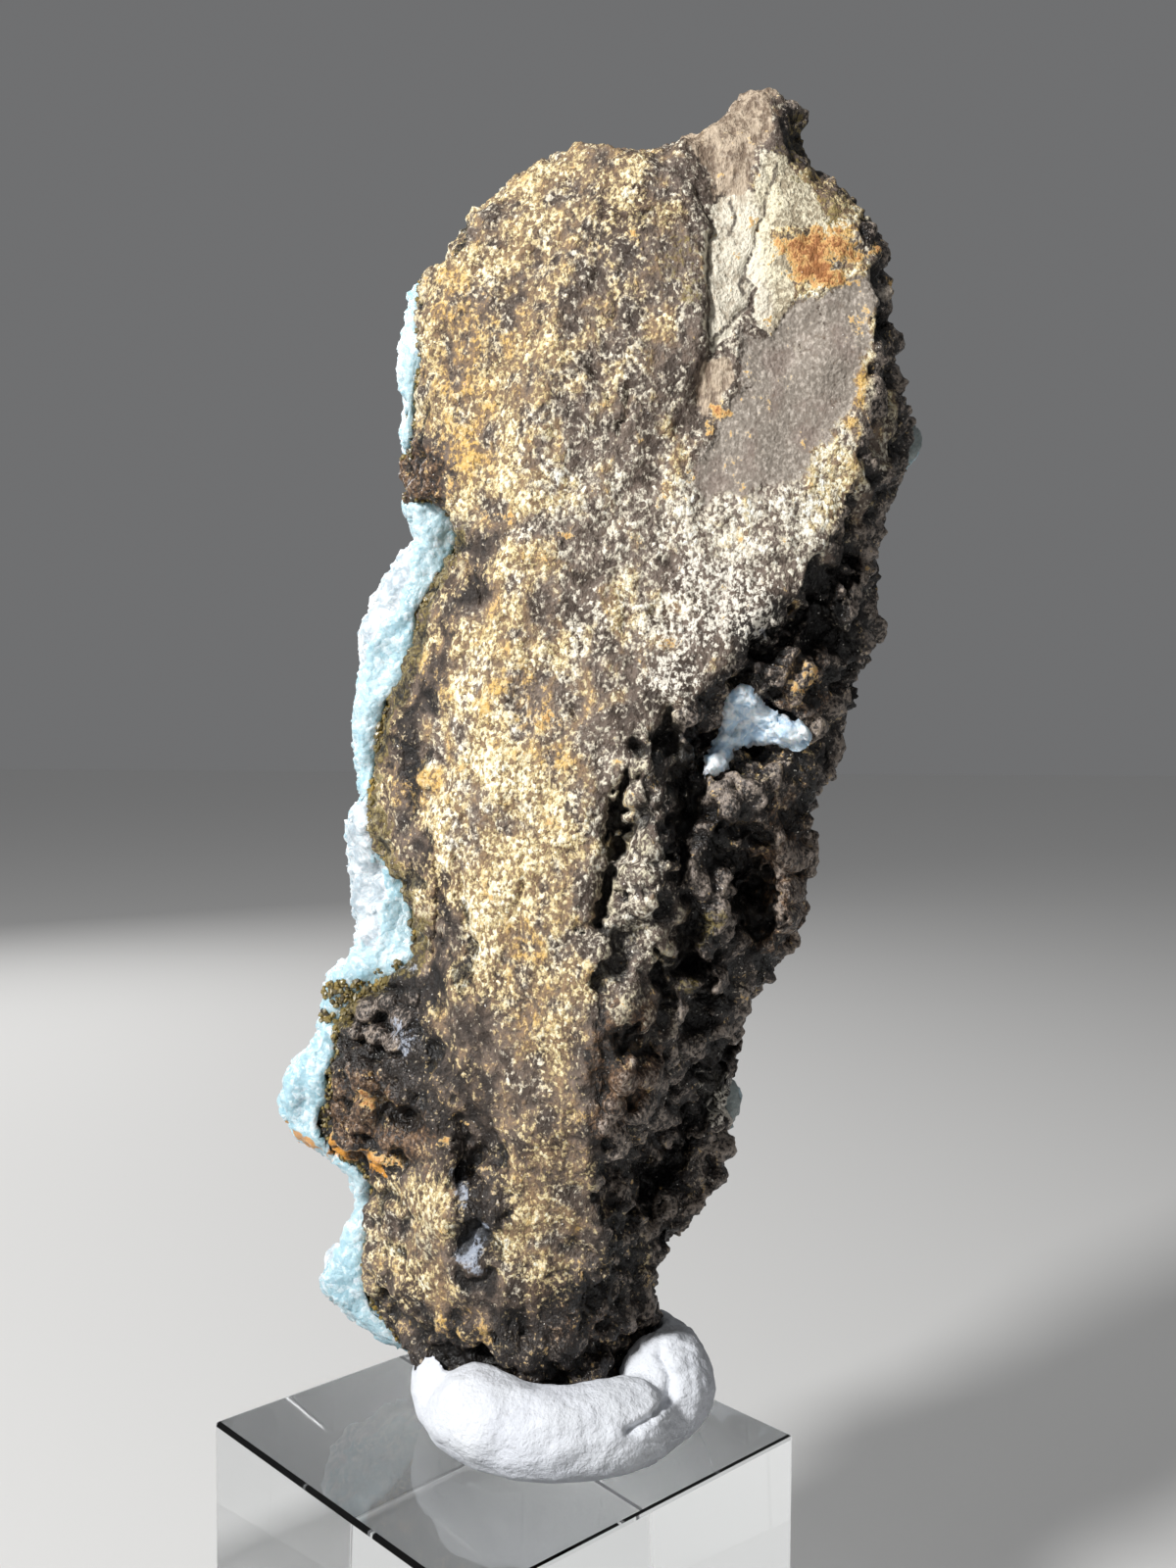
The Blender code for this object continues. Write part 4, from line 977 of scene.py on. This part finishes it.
def hemimorphite_material(look):
    """Hemimorphite crust, grown in sheaves: silky on its lobes, sugary where it broke, with light
    sinking a millimetre or two into it, so thick parts look bluer and thin edges white."""
    made, tree, shader, place = new_material("hemimorphite")
    regions = {name: add_node(tree, "Attribute", {"attribute_name": name}, out="Fac")
               for name in ("tops", "edge", "section", "lobe", "cool", "seam", "right_end_shade")}
    broad = add_node(tree, "TexNoise", None, {"Vector": place, "Scale": per_metre(10.0), "Detail": 3.0})
    milky = add_node(
        tree, "TexNoise", None,
        {"Vector": place, "Scale": per_metre(2.4), "Detail": 5.0, "Roughness": 0.65, "Distortion": 1.2})
    fine = add_node(tree, "TexNoise", None, {"Vector": place, "Scale": per_metre(0.6), "Detail": 3.0})
    sugar = add_node(tree, "TexVoronoi", None, {"Vector": place, "Scale": per_metre(0.9)})
    sugar_tone = add_node(tree, "TexVoronoi", None, {"Vector": place, "Scale": per_metre(0.9)}, "Color")
    chance = add_node(tree, "SeparateColor", None, {"Color": sugar_tone})
    colour = stained(tree, look.blue, look.deep, broad, 0.40, 0.66, 0.55)
    # Painted shade: the hollows between the lobes, low where the tops, the section and the lobes are high,
    # take the deep blue
    hollow = weighed(tree, [
        (regions["tops"], 0, -1.0), (regions["section"], 0, -1.0), (regions["lobe"], 0, -1.0),
        (milky, 0.5, 0.8)], 0.45)
    colour = stained(tree, colour, look.deep, hollow, 0.0, 0.5, 0.6)
    # Whiter on the lobes' tops as a painted highlight, and on the broken edges
    white = weighed(tree, [
        (regions["tops"], 0.5, 0.7), (regions["edge"], 0, 0.5), (regions["section"], 0, -0.2),
        (milky, 0.5, 1.5), (fine, 0.5, 0.9)])
    colour = stained(tree, colour, look.rim, white, 0.0, 0.62, 0.9)
    broken = weighed(tree, [
        (regions["section"], 0, 0.3), (chance, 0.5, 0.9), (milky, 0.5, 2.2), (fine, 0.5, 2.0)])
    colour = stained(tree, colour, "#dbeaf0", broken, 0.34, 0.80, 0.8)
    colour = stained(tree, colour, "#8ab7c7", broken, 0.14, -0.30, 0.45)
    lobed = weighed(tree, [(regions["lobe"], 0, 0.9), (milky, 0.5, 0.8), (fine, 0.5, 0.6)])
    sugary = stained(tree, "#a8b4bc", "#dde2e5", milky, 0.38, 0.60)
    colour = stained(tree, colour, sugary, lobed, 0.36, 0.62, 0.94)
    icy = stained(tree, "#b6d2ec", "#f0f8ff", milky, 0.40, 0.62)
    icy = stained(tree, icy, "#f6fbff", regions["edge"], 0.2, 0.45, 0.8)
    colour = stained(tree, colour, icy, regions["cool"], 0.0, 1.0, 0.85)
    # Painted shade: the crust's right end greys
    right_end_shade_level = weighed(tree, [(regions["right_end_shade"], 0, 0.9), (milky, 0.5, 1.4), (fine, 0.5, 0.9)])
    colour = stained(tree, colour, "#8b928f", right_end_shade_level, 0.24, 0.66, 0.92)
    run = weighed(tree, [(regions["seam"], 0, 0.9), (milky, 0.5, 1.0), (fine, 0.5, 0.8)])
    colour = stained(tree, colour, "#cf8f38", run, 0.42, 0.68, 0.9)
    tree.links.new(colour, shader.inputs["Base Color"])
    gloss = weighed(tree, [(fine, 0.5, 0.5), (chance, 0.5, -0.22), (regions["section"], 0.5, -0.08)], 0.42)
    tree.links.new(gloss, shader.inputs["Roughness"])
    shader.inputs["IOR"].default_value = 1.62
    shader.inputs["Subsurface Weight"].default_value = 0.4
    shader.inputs["Subsurface Radius"].default_value = (0.6, 0.9, 1.0)
    shader.inputs["Subsurface Scale"].default_value = 1.5 * MM
    embossed(tree, shader, [(milky, 0.30), (sugar, -0.16), (fine, 0.14)])
    return made


class SPECIMEN_OT_crust(bpy.types.Operator):
    """Gives the crust its small lobes and its broken edge"""

    bl_idname = "specimen.crust"
    bl_label = "Hemimorphite crust"

    def execute(self, context):
        look = context.scene.specimen_crust
        piece = copy_of_node("hemimorphite_crust", "hemimorphite_sheet")
        reskin(piece, look.skin, 6)
        regions, hidden = shape_crust(piece, look)
        paint(piece, regions)
        thin_out(piece, CRUST_TRIANGLES, hidden)
        finish_piece(piece, hemimorphite_material(look), "hemimorphite_crust")
        return {"FINISHED"}


class SPECIMEN_OT_pocket(bpy.types.Operator):
    """Gives the lens of hemimorphite in the pocket its broken, sugary face"""

    bl_idname = "specimen.pocket"
    bl_label = "Pocket lens"

    def execute(self, context):
        look = context.scene.specimen_crust
        piece = copy_of_node("hemimorphite_pocket", "hemimorphite_lens")
        reskin(piece, look.skin * 0.6, 2)
        points = points_of(piece)
        tucked = 1 - soft_step(distance_to(points, "matrix_rock", 3.0), 0.4, 1.6)
        rise = facets(points, 2.2) * 0.8 + facets(points, 0.9) * 0.3 + rough(points, 3.0, 4) * 0.5
        points += normals_of(piece) * rise[:, None]
        points[:, 1] += tucked * 0.8 - 0.7
        set_points(piece, points)
        veins = np.clip(1 - np.abs(rough(points, 4.0, 3)) * 7, 0, 1)
        even = np.ones(len(points))
        paint(piece, {"tops": veins * 1.2, "edge": veins * 0.5, "section": even * 0.7, "cool": even})
        sheet = bpy.data.objects["hemimorphite_sheet"]
        finish_piece(piece, sheet.data.materials[0], "hemimorphite_pocket")
        return {"FINISHED"}


# The druse along the seam

def druse_material(look):
    """Drusy goethite and smithsonite: minute olive to brown crystals with a waxy shine."""
    made, tree, shader, _ = new_material("druse")
    tone = add_node(tree, "Attribute", {"attribute_name": "tone"}, out="Fac")
    colour = add_node(tree, "ValToRGB", {"stops": [
        (0.0, "#2b2110"),
        (0.45, look.olive),
        (0.8, "#947a34"),
        (1.0, "#c7ac66"),
    ]}, {"Fac": tone})
    tree.links.new(colour, shader.inputs["Base Color"])
    shader.inputs["Roughness"].default_value = 0.42
    shader.inputs["IOR"].default_value = 1.7
    return made


class SPECIMEN_OT_druse(bpy.types.Operator):
    """Sets small crystals along the line where the crust meets the rock"""

    bl_idname = "specimen.druse"
    bl_label = "Druse along the crust"

    def execute(self, context):
        look = context.scene.specimen_rock
        rock = bpy.data.objects["limonite_slab"]
        crust = bpy.data.objects["hemimorphite_sheet"]
        random = np.random.default_rng(DRUSE_SEED)
        rim = np.flatnonzero(painted(rock, "contact") > 0.35)
        if not len(rim):
            raise RuntimeError("The rock has no rim along the crust")
        rim = random.choice(rim, min(look.druse_count, len(rim)), replace=False)
        over = np.flatnonzero(painted(crust, "fringe") > 0.3)
        over = over[random.random(len(over)) < DRUSE_SHARE]
        points = np.concatenate([points_of(rock)[rim], points_of(crust)[over]])
        normals = np.concatenate([normals_of(rock)[rim], normals_of(crust)[over]])
        fringe = np.concatenate([painted(rock, "fringe")[rim], painted(crust, "fringe")[over]])
        bpy.ops.mesh.primitive_ico_sphere_add(subdivisions=1, radius=1.0)
        seed = bpy.context.active_object
        ball = np.array([v.co for v in seed.data.vertices])
        faces = np.array([p.vertices[:] for p in seed.data.polygons])
        bpy.data.objects.remove(seed)
        count = len(points)
        size = random.uniform(*DRUSE_RADII, count) * (1 + 0.4 * fringe)
        shape = ball[None] * random.uniform(0.65, 1.25, (count, len(ball), 1))
        shape = shape * random.uniform(0.75, 1.25, (count, 1, 3)) * size[:, None, None]
        centres = points + normals * size[:, None] * random.uniform(-0.1, 0.45, (count, 1))
        corners = (centres[:, None] + shape).reshape(-1, 3)
        triangles = (faces[None] + len(ball) * np.arange(count)[:, None, None]).reshape(-1, 3)
        mesh = bpy.data.meshes.new("crust_druse")
        mesh.from_pydata((corners * MM).tolist(), [], triangles.tolist())
        piece = bpy.data.objects.new("crust_druse", mesh)
        context.scene.collection.objects.link(piece)
        set_points(piece, corners)
        paint(piece, {"tone": np.repeat(random.beta(1.8, 3.0, count), len(ball))})
        finish_piece(piece, druse_material(look), None)
        piece.data.shade_flat()
        return {"FINISHED"}


# The stand

# The crease where the putty roll's ends were pressed together, as seen
PUTTY_CREASE = [(19, 59.4), (20.4, 56.6), (20.6, 54), (18.6, 51.6), (15.6, 49.6)]


def shape_putty(piece):
    """Dimples from kneading, and the folds and the crease where the roll's ends meet."""
    points = points_of(piece)
    normals = normals_of(piece)
    x, z = as_drawn(points)
    dimples = rough(points, 2.4, 2) * 0.16 + rough(points, 7.0, 2) * 0.45
    seam = bell((x - 20.0) / 4.6) * (normals[:, 1] < 0.4)
    folds = np.sin((points[:, 0] * 0.5 + points[:, 2] * 1.1 + rough(points, 4.0, 2) * 2.4) * 3.4)
    from_crease, _ = from_line(x, z, PUTTY_CREASE)
    crease = 0.9 * bell(from_crease / 0.55) * (normals[:, 1] < 0.3)
    rise = dimples + folds * seam * 0.12 - crease - 0.08
    points += normals * (rise * soft_step(points[:, 2], 50.2, 51.6))[:, None]
    set_points(piece, points)


def putty_material(look):
    """Mounting putty, kneaded by hand: chalk-filled polymer, matt and finely pitted."""
    made, tree, shader, place = new_material("putty")
    broad = add_node(tree, "TexNoise", None, {"Vector": place, "Scale": per_metre(8.0), "Detail": 2.0})
    pits = add_node(
        tree, "TexNoise", None,
        {"Vector": place, "Scale": per_metre(1.5), "Detail": 4.0, "Roughness": 0.65})
    fine = add_node(tree, "TexNoise", None, {"Vector": place, "Scale": per_metre(0.5), "Detail": 3.0})
    colour = stained(tree, look.putty, "#d0d3da", broad, 0.35, 0.7)
    colour = stained(tree, colour, "#b9b8b5", fine, 0.60, 0.8, 0.35)
    tree.links.new(colour, shader.inputs["Base Color"])
    shader.inputs["Roughness"].default_value = 0.85
    shader.inputs["Specular IOR Level"].default_value = 0.35
    embossed(tree, shader, [(pits, 0.42), (fine, 0.12)])
    return made


class SPECIMEN_OT_putty(bpy.types.Operator):
    """Kneads the putty ring"""

    bl_idname = "specimen.putty"
    bl_label = "Putty ring"

    def execute(self, context):
        look = context.scene.specimen_stand
        piece = copy_of_node("putty_ring", "putty_roll")
        reskin(piece, look.putty_skin, 8)
        shape_putty(piece)
        finish_piece(piece, putty_material(look), "putty_ring")
        return {"FINISHED"}


def acrylic_material(look):
    """Cast acrylic, polished: clear right through, with faint rubs from handling."""
    made, tree, shader, place = new_material("acrylic")
    rubs = add_node(
        tree, "TexNoise", None,
        {"Vector": place, "Scale": per_metre(6.0), "Detail": 6.0, "Roughness": 0.75, "Distortion": 1.5})
    worn = add_node(
        tree, "MapRange", None,
        {"Value": rubs, "From Min": 0.55, "From Max": 0.8, "To Min": 0.015, "To Max": 0.10})
    tree.links.new(worn, shader.inputs["Roughness"])
    shader.inputs["Base Color"].default_value = linear(look.acrylic)
    shader.inputs["Transmission Weight"].default_value = 1.0
    shader.inputs["IOR"].default_value = 1.49
    return made


class SPECIMEN_OT_block(bpy.types.Operator):
    """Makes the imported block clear"""

    bl_idname = "specimen.block"
    bl_label = "Acrylic block"

    def execute(self, context):
        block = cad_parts["acrylic_block"]
        block.data.materials.clear()
        block.data.materials.append(acrylic_material(context.scene.specimen_stand))
        return {"FINISHED"}


# The studio, in metres

FLOOR_SIDE = 6.0
# The floor lies this far under the block, so that the two faces don't fall together
FLOOR_DROP = 0.2 * MM
LAMPS_AIM = (0.012, 0.0, 0.12)
KEY_PLACE = (-0.44, -0.40, 0.52)
KEY_WIDTH = 0.12
BACK_PLACE = (-0.35, 0.55, 0.40)
BACK_WIDTH = 0.35
AIR_WHITE = "#f2f3f5"


def area_lamp(name, place, width, power):
    light = bpy.data.lights.new(name, "AREA")
    light.shape = "DISK"
    light.size = width
    light.energy = power
    lamp = bpy.data.objects.new(name, light)
    bpy.context.scene.collection.objects.link(lamp)
    lamp.location = place
    lamp.rotation_euler = (Vector(LAMPS_AIM) - Vector(place)).to_track_quat("-Z", "Y").to_euler()


class SPECIMEN_OT_studio(bpy.types.Operator):
    """Sets the pale floor, the lamps and the camera"""

    bl_idname = "specimen.studio"
    bl_label = "Studio"

    def execute(self, context):
        look = context.scene.specimen_studio
        scene = context.scene
        bpy.ops.mesh.primitive_plane_add(size=FLOOR_SIDE, location=(0, 0, -FLOOR_DROP))
        floor = bpy.context.active_object
        floor.name = "floor"
        made, _, shader, _ = new_material("pale_floor")
        shader.inputs["Base Color"].default_value = linear(look.floor)
        shader.inputs["Roughness"].default_value = 0.9
        shader.inputs["Emission Color"].default_value = linear(AIR_WHITE)
        shader.inputs["Emission Strength"].default_value = look.glow
        floor.data.materials.append(made)
        floor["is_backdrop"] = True

        area_lamp("key", KEY_PLACE, KEY_WIDTH, look.key_power)
        area_lamp("back", BACK_PLACE, BACK_WIDTH, look.back_power)
        world = bpy.data.worlds.new("studio_air")
        scene.world = world
        world.use_nodes = True
        air = world.node_tree.nodes["Background"]
        air.inputs["Color"].default_value = linear(AIR_WHITE)
        air.inputs["Strength"].default_value = look.air

        lens = bpy.data.cameras.new("camera")
        lens.angle = math.radians(VIEW_ANGLE_DEG)
        lens.clip_start = 5 * MM
        camera = bpy.data.objects.new("camera", lens)
        scene.collection.objects.link(camera)
        pitch = Matrix.Rotation(math.radians(90 + VIEW_PITCH_DEG), 4, "X")
        roll = Matrix.Rotation(math.radians(VIEW_ROLL_DEG), 4, "Z")
        camera.matrix_world = Matrix.Translation(Vector(EYE) * MM) @ pitch @ roll
        scene.camera = camera
        # The standard transform keeps the grains as bright over the dark ground as the eye sees them
        scene.view_settings.view_transform = "Standard"
        return {"FINISHED"}


class SPECIMEN_PT_panel(bpy.types.Panel):
    """Lists the specimen's settings and operators"""

    bl_label = "Specimen"
    bl_idname = "SPECIMEN_PT_panel"
    bl_space_type = "VIEW_3D"
    bl_region_type = "UI"
    bl_category = "Specimen"

    def draw(self, context):
        for group in GROUPS:
            settings = getattr(context.scene, group)
            box = self.layout.box()
            for name in settings.__annotations__:
                box.prop(settings, name)
        for operator in OPERATORS:
            self.layout.operator(operator.bl_idname)


GROUPS = {
    "specimen_rock": RockSettings,
    "specimen_crust": CrustSettings,
    "specimen_stand": StandSettings,
    "specimen_studio": StudioSettings,
}
OPERATORS = (
    SPECIMEN_OT_rock,
    SPECIMEN_OT_crust,
    SPECIMEN_OT_pocket,
    SPECIMEN_OT_druse,
    SPECIMEN_OT_putty,
    SPECIMEN_OT_block,
    SPECIMEN_OT_studio,
)


def register():
    for name, group in GROUPS.items():
        bpy.utils.register_class(group)
        setattr(bpy.types.Scene, name, bpy.props.PointerProperty(type=group))
    for operator in OPERATORS:
        bpy.utils.register_class(operator)
    bpy.utils.register_class(SPECIMEN_PT_panel)


def unregister():
    bpy.utils.unregister_class(SPECIMEN_PT_panel)
    for operator in reversed(OPERATORS):
        bpy.utils.unregister_class(operator)
    for name, group in GROUPS.items():
        delattr(bpy.types.Scene, name)
        bpy.utils.unregister_class(group)


def main():
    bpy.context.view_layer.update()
    bpy.ops.object.select_all(action="DESELECT")
    register()
    bpy.ops.specimen.rock()
    bpy.ops.specimen.crust()
    bpy.ops.specimen.pocket()
    bpy.ops.specimen.druse()
    bpy.ops.specimen.putty()
    bpy.ops.specimen.block()
    bpy.ops.specimen.studio()


if __name__ == "__main__":
    main()
